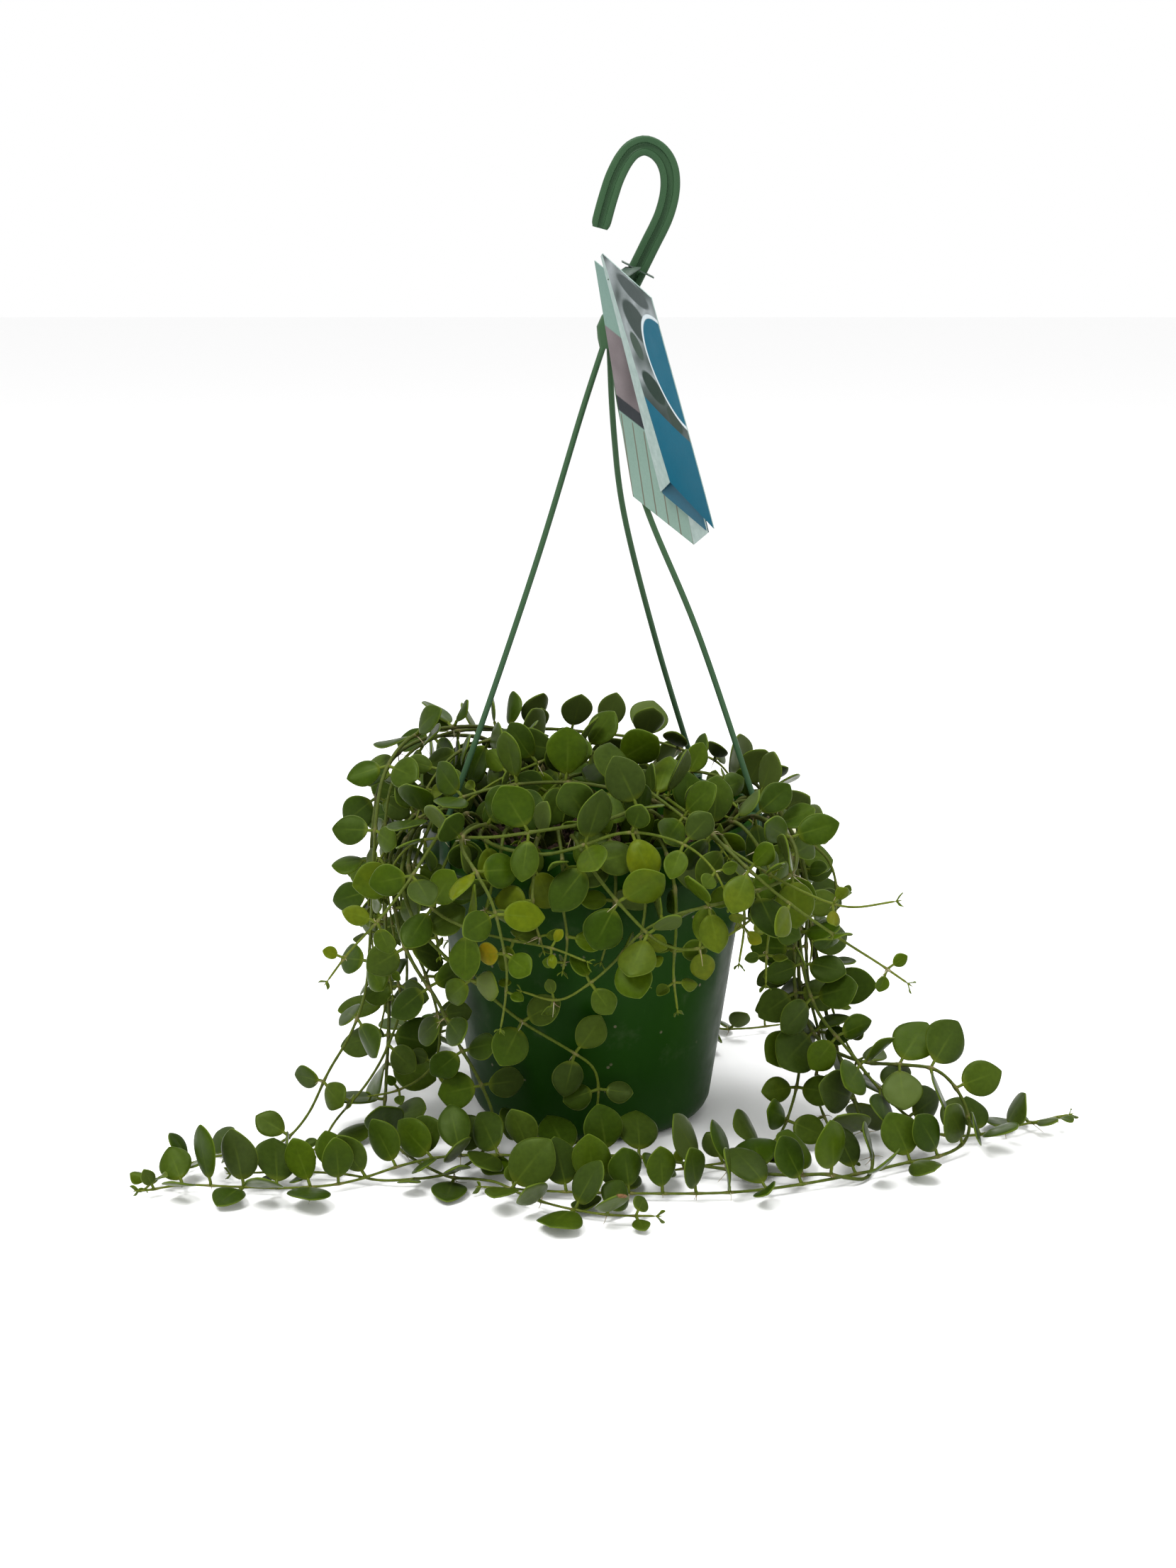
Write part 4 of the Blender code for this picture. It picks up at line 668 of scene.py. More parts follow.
def clip_mesh(angle):
    """A clip that snaps over the rim: outer plate, bridge, inner leg and a toe under the rim's edge."""
    r_in = wall_radius(RIM_TOP - CLIP_LEG) - WALL - 2 * FIT_GAP
    r_out = RIM_RADIUS + FIT_GAP
    low = RIM_UNDERSIDE - FIT_GAP
    outline = [
        (r_out - 1.3, low - 1.5), (r_out + 1.5, low - 1.5), (r_out + 1.5, RIM_TOP + 1.9),
        (r_in - 1.4, RIM_TOP + 1.9), (r_in - 1.4, RIM_TOP - CLIP_LEG), (r_in, RIM_TOP - CLIP_LEG),
        (r_in, RIM_TOP + FIT_GAP), (r_out, RIM_TOP + FIT_GAP), (r_out, low), (r_out - 1.3, low),
    ]
    a = math.radians(angle)
    out = np.array((math.cos(a), math.sin(a), 0))
    across = np.array((-math.sin(a), math.cos(a), 0)) * CLIP_WIDTH / 2
    verts = []
    for sign in (1, -1):
        verts += [out * r + np.array((0, 0, z)) + across * sign for r, z in outline]
    n = len(outline)
    return verts, band(0, n, n) + caps(n, 2 * n)


def label_point(panel, s, t):
    """A point on one panel of the card: s runs across it and t down it, both from 0 to 1."""
    top_left, top_right, low_right, low_left = (np.array(c) for c in panel)
    top = top_left + (top_right - top_left) * s
    low = low_left + (low_right - low_left) * s
    curl = max(0.0, t - 0.7) ** 2 * 11 * LABEL_CURL * (0.35 - s)
    return top + (low - top) * t + np.array((0, -1, 0.35)) * curl * 0.5


def eye_mesh():
    """The paper ring that the neck of the hook goes through, square to the neck."""
    along = unit((0.447, 0, 0.894))
    across = np.array((along[2], 0, -along[0]))
    verts = []
    for lift in (-0.5, 0.5):
        for w, d in (EYE_OUTSIDE, EYE_HOLE):
            for a, b in SQUARE:
                spot = EYE_MIDDLE + across * a * w + np.array((0, b * d, 0))
                verts.append(spot + along * lift * EYE_THICKNESS)
    faces = []
    for k in range(4):
        n = (k + 1) % 4
        faces += [(k, n, 4 + n, 4 + k), (8 + k, 12 + k, 12 + n, 8 + n)]
        faces += [(k, 8 + k, 8 + n, n), (4 + k, 4 + n, 12 + n, 12 + k)]
    return verts, faces


def strap_mesh(start, end):
    """The narrow strip of card between the eye and the top of the back panel."""
    run = unit(end - start)
    width = unit(np.cross(run, (0, 0, 1)))
    up = np.cross(width, run)
    corners = [width * a * 3.5 + up * b * EYE_THICKNESS / 2 for a, b in SQUARE]
    verts = [start + c for c in corners] + [end + c for c in corners]
    return verts, band(0, 4, 4) + caps(4, 8)


# ---------------------------------------------------------------- looks: values, in millimetres unless said

VALUES = ("tone", "dull", "inset", "under", "along", "across", "harm")
LEAF_ROWS = (1 - np.cos(np.pi * np.arange(1, 17) / 17)) / 2
TOP_COLUMNS = np.array((1.0, 0.93, 0.76, 0.5, 0.2, 0.0, -0.2, -0.5, -0.76, -0.93, -1.0))
LOW_COLUMNS = np.array((-0.93, -0.72, -0.36, 0.0, 0.36, 0.72, 0.93))
BLADE_THICKNESS = 1.15
STEM_SIDES = 7
POT_LOOK_SIDES = 144
MIX_SIDES = 96
MIX_CHIPS = 420
MIX_FIBRES = 150
CARD_COLUMNS = 15
CARD_ROWS = 45
RUN_STEP = 1.4
LEAF, STEM, ROOT = 0, 1, 2

# Leaves that differ: the blade nearest each of these places
SWOLLEN_AT = ((-13, -97, 92), (-51, -97, 126), (27, -92, 140), (-100, -60, 25))
AMBER_AT = ((-40, -95, 100),)
SCORCHED_AT = ((6, -146, 6),)


def half_width(leaf, u):
    """Half the blade's width at u: rounded at the base, and drawn to a short point at the tip."""
    around = np.clip(np.sin(np.pi * u ** leaf.get("broad", 1.0)), 0, 1)
    return leaf["width"] / 2 * 1.02 * around ** (0.53 + 0.24 * u ** 3)


def blade_surface(leaf, u, v, lift):
    """Points of a blade for arrays of u along it and v across it, raised by lift from its middle surface."""
    half = half_width(leaf, u)
    turn = leaf["bend"] * u
    bend = leaf["bend"] if abs(leaf["bend"]) > 1e-3 else 1e-3
    along = leaf["length"] * np.sin(bend * u) / bend
    rise = -leaf["length"] * (1 - np.cos(bend * u)) / bend
    rise = rise + leaf["cup"] * (v * half / (leaf["width"] / 2)) ** 2
    side = np.cross(leaf["normal"], leaf["axis"])
    normal = leaf["normal"] * np.cos(turn)[..., None] + leaf["axis"] * np.sin(turn)[..., None]
    return (leaf["base"] + leaf["axis"] * along[..., None] + leaf["normal"] * rise[..., None]
            + side * (half * v)[..., None] + normal * lift[..., None])


def ring_faces(rings, size):
    """Faces of a closed skin over rings of equal size between two poles: pole, rings, pole."""
    faces = [(0, 1 + (j + 1) % size, 1 + j) for j in range(size)]
    for i in range(rings - 1):
        faces += band(1 + i * size, 1 + (i + 1) * size, size)
    last = 1 + rings * size
    a = last - size
    return faces + [(a + j, a + (j + 1) % size, last) for j in range(size)]


LEAF_FACES = ring_faces(len(LEAF_ROWS), len(TOP_COLUMNS) + len(LOW_COLUMNS))


def leaf_skin(leaf):
    """A thick blade with a rounded margin, a shallow midrib above and a raised one below."""
    v = np.concatenate([TOP_COLUMNS, LOW_COLUMNS])[None, :] + 0 * LEAF_ROWS[:, None]
    u = LEAF_ROWS[:, None] + 0 * v
    top = np.concatenate([np.ones(len(TOP_COLUMNS)), np.zeros(len(LOW_COLUMNS))])[None, :] + 0 * u
    edge = np.abs(v) >= 1.0
    ends = np.minimum(1, np.minimum(np.sqrt(u / 0.10), np.sqrt((1 - u) / 0.09)))
    full = BLADE_THICKNESS / 2 * min(1.0, leaf["length"] / 14) * ends
    body = full * np.where(edge, 0.0, np.clip(1.04 - np.abs(v) ** 5, 0, None) ** 0.5)
    rib = np.exp(-(v / 0.1) ** 2) * np.sin(np.pi * np.clip(u * 1.08, 0, 1)) ** 0.6
    lift = np.where(top > 0, body - 0.16 * rib, -body - 0.22 * rib * (1 - u))
    wave = leaf["wave"]
    lift = lift + 0.22 * np.sin(5.0 * u + wave) * v + 0.16 * np.sin(7.0 * u + 2 * wave) * (v ** 2)
    if leaf["swell"]:
        dome = np.clip(1 - v ** 2, 0, 1) * np.sin(np.pi * u)
        lift = lift + 1.5 * dome + 0.35 * dome * np.sin(11 * u + wave) * np.sin(6 * v + wave)
    points = blade_surface(leaf, u, v, lift)
    ends_u = np.array((0.0, 1.0))
    poles = blade_surface(leaf, ends_u, ends_u * 0, ends_u * 0)
    verts = np.concatenate([poles[:1], points.reshape(-1, 3), poles[1:]])

    def with_poles(grid, first, last):
        return np.concatenate([[first], grid.reshape(-1), [last]])

    gap = half_width(leaf, u) * (1 - np.abs(v))
    gap = np.minimum(gap, leaf["length"] * (1 - u) * 0.8)
    under = np.where(edge, 0.25, 1 - top)
    harm = np.clip((u - 0.45) * 2.4, 0, 1) * np.clip(0.35 + v, 0, 1) * leaf["scorch"]
    return verts, {
        "inset": with_poles(gap, 0.3, 0.0),
        "under": with_poles(under, 0.4, 0.3),
        "along": with_poles(u, 0.0, 1.0),
        "across": with_poles(v, 0.0, 0.0),
        "harm": with_poles(harm, 0.0, leaf["scorch"]),
    }


def linked(name, data):
    """A new object in the scene for a mesh, a lamp or a camera."""
    obj = bpy.data.objects.new(name, data)
    bpy.context.scene.collection.objects.link(obj)
    return obj


class Growth:
    """Closed shells of one stem with its leaves, each with a material and its values at each point."""

    def __init__(self):
        self.verts = []
        self.faces = []
        self.slots = []
        self.values = {name: [] for name in VALUES}
        self.count = 0

    def add(self, verts, faces, slot, **values):
        verts = np.asarray(verts, float)
        self.verts.append(verts)
        self.faces += [tuple(k + self.count for k in face) for face in faces]
        self.slots += [slot] * len(faces)
        for name in VALUES:
            self.values[name].append(np.zeros(len(verts)) + values.get(name, 0.0))
        self.count += len(verts)

    def piece(self, name, materials):
        mesh = bpy.data.meshes.new(name)
        mesh.from_pydata((np.concatenate(self.verts) * MM).tolist(), [], self.faces)
        for mat in materials:
            mesh.materials.append(mat)
        mesh.polygons.foreach_set("material_index", self.slots)
        for key in VALUES:
            layer = mesh.attributes.new(key, "FLOAT", "POINT")
            layer.data.foreach_set("value", np.concatenate(self.values[key]))
        mesh.shade_smooth()
        return linked(name, mesh)


def resampled(path, step):
    """The same route with points every `step`, and its distances along."""
    gaps = np.linalg.norm(np.diff(path, axis=0), axis=1)
    length = np.concatenate([[0], np.cumsum(gaps)])
    at = np.linspace(0, length[-1], max(3, int(length[-1] / step) + 1))
    return np.stack([np.interp(at, length, path[:, k]) for k in range(3)], 1), at, length


def softened(path, rounds=2):
    """The route with its small kinks eased, its ends kept."""
    path = path.copy()
    for _ in range(rounds):
        path[1:-1] += 0.3 * (path[:-2] + path[2:] - 2 * path[1:-1])
    return path


def grow_stem(growth, path, radii, nodes, rng):
    """The round stem, thicker at its nodes and tapering to its tip."""
    run, at, length = resampled(softened(path), RUN_STEP)
    run[0, 2] -= 2.5
    thick = np.interp(at, length, radii)
    swell = np.zeros(len(run))
    for i in nodes:
        swell = np.maximum(swell, np.exp(-((at - length[i]) / 1.7) ** 2))
    thick = thick * (0.94 + 0.36 * swell) * (1 + 0.05 * np.sin(at * 1.3 + rng.uniform(0, 6)))
    thick[-1] *= 0.4
    verts, faces = tube_mesh(run, thick, STEM_SIDES)
    age = np.repeat(at / at[-1], STEM_SIDES)
    growth.add(verts, faces, STEM, tone=age, harm=np.repeat(swell, STEM_SIDES), dull=rng.uniform(0, 1))


def grow_stalk(growth, leaf, tone):
    """The short stalk from the stem into the underside of the blade."""
    run = leaf["base"] - leaf["root"]
    inside = leaf["base"] + leaf["axis"] * leaf["length"] * 0.09 - leaf["normal"] * 0.15
    middle = leaf["root"] + run * 0.5 - leaf["normal"] * 0.25
    path = [leaf["root"], middle, leaf["base"] - leaf["normal"] * 0.12, inside]
    size = min(1.0, leaf["length"] / 12)
    radii = np.array((0.85, 0.72, 0.72, 0.3)) * (0.55 + 0.45 * size)
    verts, faces = tube_mesh(path, radii, 6)
    growth.add(verts, faces, STEM, tone=0.75 + 0.2 * tone, harm=0.0, dull=0.2)


def grow_roots(growth, path, i, radius, rng):
    """A few short aerial roots at a node."""
    tangent = unit(path[min(i + 1, len(path) - 1)] - path[i - 1])
    for _ in range(rng.integers(1, 4)):
        out = rng.normal(0, 1, 3) + np.array((0, 0, -0.7))
        out = unit(out - tangent * out.dot(tangent))
        length = rng.uniform(1.8, 5.5) * (1.6 if rng.random() < 0.12 else 1.0)
        bow = rng.normal(0, 0.5, 3) + np.array((0, 0, -0.35))
        steps = np.linspace(0, 1, 5)
        root = np.array([path[i] + out * (radius * 0.5 + length * s) + bow * length * 0.5 * s ** 2
                         for s in steps])
        root[:, 2] = np.maximum(root[:, 2], 0.35)
        verts, faces = tube_mesh(root, np.linspace(0.27, 0.09, 5), 4)
        growth.add(verts, faces, ROOT, tone=rng.uniform(0, 1))


def grow_tip(growth, path, radii, tone, rng):
    """The growing tip: two folded young leaves and a bud between them."""
    end = path[-1]
    tangent = unit(path[-1] - path[-4])
    side = unit(np.cross(tangent, light_at(end)))
    for sign in (1, -1):
        axis = unit(tangent * 1.0 + side * sign * rng.uniform(0.5, 0.9))
        normal = unit(np.cross(axis, np.cross(tangent, side * sign)) + rng.normal(0, 0.2, 3))
        normal = unit(normal - axis * normal.dot(axis))
        length = rng.uniform(3.0, 4.6)
        young = {"base": end + axis * 0.3, "root": end, "axis": axis, "normal": normal, "length": length,
                 "width": length * 0.55, "bend": 0.2, "cup": -0.3, "wave": 0.0, "swell": False, "scorch": 0.0}
        verts, values = leaf_skin(young)
        growth.add(verts, LEAF_FACES, LEAF, tone=tone, dull=0.1, **values)
    bud = [end, end + tangent * 1.2, end + tangent * 2.6]
    verts, faces = tube_mesh(bud, (radii[-1] * 0.9, radii[-1] * 0.7, 0.08), 6)
    growth.add(verts, faces, STEM, tone=1.0, dull=0.0)


def nearest_leaves(leaves, places):
    """The leaves whose blades are closest to the given places."""
    every = [leaf for group in leaves.values() for leaf in group]
    middles = np.array([leaf["base"] + leaf["axis"] * leaf["length"] * 0.5 for leaf in every])
    return [every[int(np.linalg.norm(middles - np.array(p, float), axis=1).argmin())] for p in places]


def leaf_looks(leaves):
    """Gives every leaf its colouring and the small ways in which it differs."""
    rng = np.random.default_rng(SEED + 1)
    for group in leaves.values():
        for leaf in group:
            _, y, z = leaf["base"]
            fringe = math.exp(-((z - 108) / 26) ** 2) * np.clip((-y - 50) / 30, 0, 1)
            tone = rng.normal(0.34 + 0.2 * fringe, 0.11 + 0.07 * fringe)
            leaf["tone"] = float(np.clip(tone, 0.02, 0.84))
            leaf["dull"] = float(np.clip(rng.normal(0.32, 0.3) - 0.3 * fringe, 0, 1))
            leaf["wave"] = rng.uniform(0, 6.28)
            leaf["broad"] = rng.uniform(0.88, 1.12)
            leaf["swell"] = False
            leaf["scorch"] = 0.0
            if leaf["length"] < 11:
                leaf["tone"] = min(0.8, leaf["tone"] + 0.15)
    for leaf in nearest_leaves(leaves, SWOLLEN_AT):
        leaf.update(tone=0.74, dull=0.0, swell=True)
    for leaf in nearest_leaves(leaves, AMBER_AT):
        leaf.update(tone=0.93, dull=0.0)
    for leaf in nearest_leaves(leaves, SCORCHED_AT):
        leaf.update(tone=0.3, scorch=1.0)


# ---------------------------------------------------------------- looks: materials

# (tone, colour) along a leaf's range, from deep green through yellow-green to amber
LEAF_TONES = (
    (0.0, (0.007, 0.017, 0.001)), (0.3, (0.019, 0.038, 0.0012)), (0.55, (0.036, 0.060, 0.0015)),
    (0.75, (0.068, 0.088, 0.002)), (0.9, (0.120, 0.112, 0.003)), (1.0, (0.20, 0.115, 0.004)),
)
LEAF_SHEEN = (0.75, 1.0, 0.35)
POT_GREEN = (0.0048, 0.027, 0.0006)
POT_GREEN_LIGHT = (0.0075, 0.034, 0.0012)
HANGER_GREEN = (0.022, 0.055, 0.024)
HANGER_GREEN_LIGHT = (0.031, 0.070, 0.031)
TEAL_OVAL = (0.004, 0.075, 0.118)
TEAL_BAND = (0.003, 0.072, 0.115)
# On the card's front, in shares of its width and height: middle, radius and colour of each soft round
ROUNDS = (
    ((0.42, 0.22), (0.30, 0.09), (0.026, 0.038, 0.034)),
    ((0.55, 0.06), (0.34, 0.05), (0.040, 0.052, 0.050)),
    ((0.22, 0.36), (0.13, 0.06), (0.034, 0.052, 0.040)),
    ((0.36, 0.515), (0.25, 0.062), (0.012, 0.025, 0.018)),
    ((0.72, 0.585), (0.16, 0.055), (0.022, 0.036, 0.028)),
)

class Nodes:
    """Short calls for building one material's node tree."""

    def __init__(self, name, roughness=0.5, specular=0.3, sheen=(1.0, 1.0, 1.0)):
        self.mat = bpy.data.materials.new(name)
        self.mat.use_nodes = True
        self.tree = self.mat.node_tree
        self.shader = self.tree.nodes["Principled BSDF"]
        self.shader.inputs["Roughness"].default_value = roughness
        self.shader.inputs["Specular IOR Level"].default_value = specular
        self.shader.inputs["Specular Tint"].default_value = (*sheen, 1.0)
        self.place = self.tree.nodes.new("ShaderNodeTexCoord").outputs["Object"]

    def put(self, value, socket):
        if isinstance(value, bpy.types.NodeSocket):
            self.tree.links.new(value, socket)
        else:
            socket.default_value = value

    def value(self, name):
        node = self.tree.nodes.new("ShaderNodeAttribute")
        node.attribute_name = name
        return node.outputs["Fac"]

    def math(self, operation, a, b=0.0, clamp=False):
        node = self.tree.nodes.new("ShaderNodeMath")
        node.operation = operation
        node.use_clamp = clamp
        self.put(a, node.inputs[0])
        self.put(b, node.inputs[1])
        return node.outputs[0]

    def times(self, a, b):
        return self.math("MULTIPLY", a, b)

    def noise(self, scale, detail=2.0, rough=0.5, stretch=None):
        node = self.tree.nodes.new("ShaderNodeTexNoise")
        node.inputs["Scale"].default_value = scale
        node.inputs["Detail"].default_value = detail
        node.inputs["Roughness"].default_value = rough
        place = self.place
        if stretch:
            shift = self.tree.nodes.new("ShaderNodeMapping")
            shift.inputs["Scale"].default_value = stretch
            self.tree.links.new(place, shift.inputs["Vector"])
            place = shift.outputs[0]
        self.tree.links.new(place, node.inputs["Vector"])
        return node.outputs["Fac"]

    def cells(self, scale):
        node = self.tree.nodes.new("ShaderNodeTexVoronoi")
        node.inputs["Scale"].default_value = scale
        self.tree.links.new(self.place, node.inputs["Vector"])
        return node.outputs["Distance"]

    def ramp(self, fac, *stops):
        node = self.tree.nodes.new("ShaderNodeValToRGB")
        marks = node.color_ramp.elements
        while len(marks) < len(stops):
            marks.new(0.5)
        for mark, (at, color) in zip(marks, stops):
            mark.position = at
            mark.color = (*color, 1) if isinstance(color, tuple) else (color, color, color, 1)
        self.tree.links.new(fac, node.inputs[0])
        return node.outputs[0]

    def step(self, fac, low, high):
        """0 below low, 1 above high, smooth between; low may be the larger."""
        node = self.tree.nodes.new("ShaderNodeMapRange")
        node.interpolation_type = "SMOOTHSTEP"
        flip = low > high
        node.inputs["From Min"].default_value = min(low, high)
        node.inputs["From Max"].default_value = max(low, high)
        node.inputs["To Min"].default_value = 1.0 if flip else 0.0
        node.inputs["To Max"].default_value = 0.0 if flip else 1.0
        self.tree.links.new(fac, node.inputs["Value"])
        return node.outputs[0]

    def mix(self, fac, a, b, blend="MIX"):
        node = self.tree.nodes.new("ShaderNodeMix")
        node.data_type = "RGBA"
        node.blend_type = blend
        self.put(fac, node.inputs["Factor"])
        sockets = [s for s in node.inputs if s.type == "RGBA"]
        for value, socket in zip((a, b), sockets):
            self.put((*value, 1) if isinstance(value, tuple) else value, socket)
        return [s for s in node.outputs if s.type == "RGBA"][0]

    def grained(self, base, noise, low, high):
        """The base multiplied by a ramp over noise; low and high are (noise, factor)."""
        return self.mix(1.0, base, self.ramp(noise, low, high), "MULTIPLY")

    def color(self, value):
        self.put(value, self.shader.inputs["Base Color"])

    def rough(self, value):
        self.put(value, self.shader.inputs["Roughness"])

    def bump(self, *layers):
        """Layers of (height, strength, distance in millimetres), one on the other."""
        last = None
        for height, strength, distance in layers:
            node = self.tree.nodes.new("ShaderNodeBump")
            node.inputs["Strength"].default_value = strength
            node.inputs["Distance"].default_value = distance * MM
            self.tree.links.new(height, node.inputs["Height"])
            if last:
                self.tree.links.new(last, node.inputs["Normal"])
            last = node.outputs[0]
        self.tree.links.new(last, self.shader.inputs["Normal"])


def leaf_material():
    """Waxy leaf: dark green to amber by tone, with a pale rib, heel and margin, specks and burnt edges."""
    n = Nodes("leaf_flesh", 0.36, 0.1, LEAF_SHEEN)
    tone = n.value("tone")
    cloudy = n.noise(95, 3.0, 0.6)
    tone = n.math("ADD", tone, n.times(n.math("SUBTRACT", cloudy, 0.5), 0.34), clamp=True)
    base = n.ramp(tone, *LEAF_TONES)
    dull = n.times(n.value("dull"), 0.75)
    base = n.mix(dull, base, (0.027, 0.038, 0.009))
    base = n.grained(base, n.noise(520, 2.0), (0.2, 0.84), (0.8, 1.14))
    below = n.times(n.value("under"), 0.6)
    base = n.mix(below, base, (0.058, 0.080, 0.018))
    across = n.math("ABSOLUTE", n.value("across"))
    rib = n.times(n.step(across, 0.10, 0.0), n.step(n.value("along"), 0.9, 0.2))
    base = n.mix(n.times(rib, 0.28), base, (0.078, 0.112, 0.012))
    heel = n.times(n.step(n.value("along"), 0.16, 0.0), 0.45)
    base = n.mix(heel, base, (0.092, 0.115, 0.008))
    margin = n.times(n.step(n.value("inset"), 0.5, 0.12), 0.62)
    base = n.mix(margin, base, (0.085, 0.122, 0.012))
    specks = n.times(n.step(n.cells(300), 0.085, 0.05), n.step(n.noise(60, 1.0), 0.58, 0.66))
    base = n.mix(n.times(specks, 0.55), base, (0.055, 0.045, 0.018))
    edge = n.math("ADD", n.value("harm"), n.times(n.math("SUBTRACT", n.noise(420, 3.0), 0.5), 0.9))
    burnt = n.step(edge, 0.62, 0.8)
    brown = n.ramp(n.noise(900, 3.0), (0.3, (0.055, 0.022, 0.010)), (0.7, (0.20, 0.10, 0.045)))
    base = n.mix(burnt, base, brown)
    n.color(base)
    n.rough(n.ramp(n.noise(260, 2.0), (0.25, 0.29), (0.8, 0.47)))
    n.bump((n.noise(1500, 2.0), 0.2, 0.08), (n.noise(260, 2.0), 0.3, 0.18))
    return n.mat


def stem_material():
    n = Nodes("stem_skin", 0.5, 0.08)
    base = n.ramp(n.value("tone"), (0.0, (0.036, 0.040, 0.008)), (0.3, (0.043, 0.060, 0.006)),
                  (0.75, (0.060, 0.086, 0.006)), (1.0, (0.095, 0.120, 0.009)))
    base = n.mix(n.times(n.value("dull"), 0.35), base, (0.055, 0.060, 0.018))
    base = n.grained(base, n.noise(700, 3.0), (0.2, 0.72), (0.8, 1.2))
    knot = n.times(n.value("harm"), n.step(n.noise(420, 2.0), 0.35, 0.65))
    base = n.mix(n.times(knot, 0.6), base, (0.17, 0.125, 0.06))
    n.color(base)
    n.bump((n.noise(1300, 3.0), 0.35, 0.15))
    return n.mat


def root_material():
    n = Nodes("aerial_root", 0.75, 0.2)
    n.color(n.ramp(n.value("tone"), (0.0, (0.30, 0.29, 0.19)), (0.6, (0.26, 0.21, 0.12)),
                   (1.0, (0.13, 0.085, 0.045))))
    n.bump((n.noise(2500, 2.0), 0.4, 0.08))
    return n.mat


def plastic_material(name, color, light, roughness, specular, dusty):
    """Moulded plastic with faint flow marks, scuffs and, on the pot, specks of dust."""
    n = Nodes(name, roughness, specular)
    flow = n.noise(28, 4.0, 0.6, stretch=(1, 1, 0.35))
    base = n.mix(n.ramp(flow, (0.35, 0.0), (0.7, 1.0)), color, light)
    scuff = n.step(n.noise(170, 5.0, 0.7, stretch=(1, 1, 0.12)), 0.66, 0.8)
    base = n.mix(n.times(scuff, 0.35), base, tuple(2.2 * c + 0.01 for c in color))
    if dusty:
        grains = n.times(n.step(n.cells(150), 0.14, 0.08), n.step(n.noise(45, 2.0), 0.56, 0.62))
        base = n.mix(n.times(grains, 0.7), base, (0.14, 0.12, 0.08))
        film = n.times(n.step(n.noise(60, 5.0, 0.65), 0.55, 0.8), 0.16)
        base = n.mix(film, base, (0.11, 0.12, 0.075))
    n.color(base)
    n.rough(n.ramp(n.noise(85, 3.0), (0.3, roughness - 0.07), (0.75, roughness + 0.1)))
    n.bump((n.noise(1400, 2.0), 0.12, 0.08), (flow, 0.25, 0.6))
    return n.mat


def mix_material():
    n = Nodes("peat_and_coir", 0.95, 0.15)
    base = n.ramp(n.noise(330, 4.0, 0.7), (0.3, (0.012, 0.008, 0.005)), (0.55, (0.045, 0.027, 0.016)),
                  (0.75, (0.10, 0.062, 0.036)))
    pale = n.step(n.cells(420), 0.16, 0.1)
    n.color(n.mix(n.times(pale, 0.5), base, (0.16, 0.12, 0.08)))
    n.bump((n.noise(700, 4.0), 0.8, 0.9))
    return n.mat


def fibre_material():
    n = Nodes("coir_fibre", 0.85, 0.15)
    n.color(n.ramp(n.noise(300, 2.0), (0.3, (0.035, 0.018, 0.010)), (0.75, (0.14, 0.08, 0.045))))
    n.bump((n.noise(2000, 2.0), 0.4, 0.1))
    return n.mat


def petal_material():
    n = Nodes("petal_wax", 0.45, 0.35)
    tall = n.value("along")
    base = n.ramp(tall, (0.0, (0.20, 0.26, 0.08)), (0.35, (0.62, 0.62, 0.40)), (0.85, (0.80, 0.78, 0.62)),
                  (1.0, (0.62, 0.50, 0.36)))
    n.color(n.grained(base, n.noise(900, 2.0), (0.2, 0.85), (0.8, 1.05)))
    n.bump((n.noise(1500, 2.0), 0.2, 0.1))
    return n.mat


def paper(n, base):
    """Finish of coated card: faint fibres, rubbed spots and a low gloss."""
    n.color(n.grained(base, n.noise(900, 4.0, 0.7), (0.3, 0.93), (0.7, 1.04)))
    n.rough(n.ramp(n.noise(160, 3.0), (0.3, 0.32), (0.75, 0.5)))
    n.bump((n.noise(1300, 3.0), 0.15, 0.08), (n.noise(60, 2.0), 0.2, 0.5))
    return n.mat


def oval(n, across, down, middle, radius):
    """1 at the rim of an oval on the card, less inside it and more outside."""
    x = n.math("DIVIDE", n.math("SUBTRACT", across, middle[0]), radius[0])
    y = n.math("DIVIDE", n.math("SUBTRACT", down, middle[1]), radius[1])
    square = n.math("ADD", n.times(x, x), n.times(y, y))
    return n.math("SQRT", square)


def front_print():
    """Plain generic print: soft grey-green rounds, a teal oval with a white ring, and a teal band, with
    painted shade a little darker at the card's top and more at its bottom.
    """
    n = Nodes("card_front", 0.45, 0.06)
    across = n.value("across")
    down = n.value("along")
    cloud = n.noise(34, 2.0, 0.5)
    base = n.ramp(cloud, (0.36, (0.020, 0.030, 0.026)), (0.47, (0.055, 0.072, 0.068)),
                  (0.56, (0.21, 0.235, 0.24)), (0.7, (0.030, 0.043, 0.038)))
    for middle, radius, tint in ROUNDS:
        base = n.mix(n.step(oval(n, across, down, middle, radius), 1.06, 0.86), base, tint)
    badge = oval(n, across, down, (0.98, 0.335), (0.50, 0.222))
    base = n.mix(n.step(badge, 1.085, 1.06), base, (0.42, 0.47, 0.49))
    base = n.mix(n.step(badge, 1.015, 0.985), base, TEAL_OVAL)
    arch = n.math("ADD", down, n.times(n.math("SINE", n.times(across, 2.6)), -0.012))
    base = n.mix(n.step(arch, 0.618, 0.624), base, TEAL_BAND)
    # painted shade: the print is multiplied darker a little towards the card's top and more towards its
    # curled bottom
    shade = n.ramp(down, (0.0, 0.95), (0.6, 1.0), (1.0, 0.9))
    return paper(n, n.mix(1.0, base, shade, "MULTIPLY"))


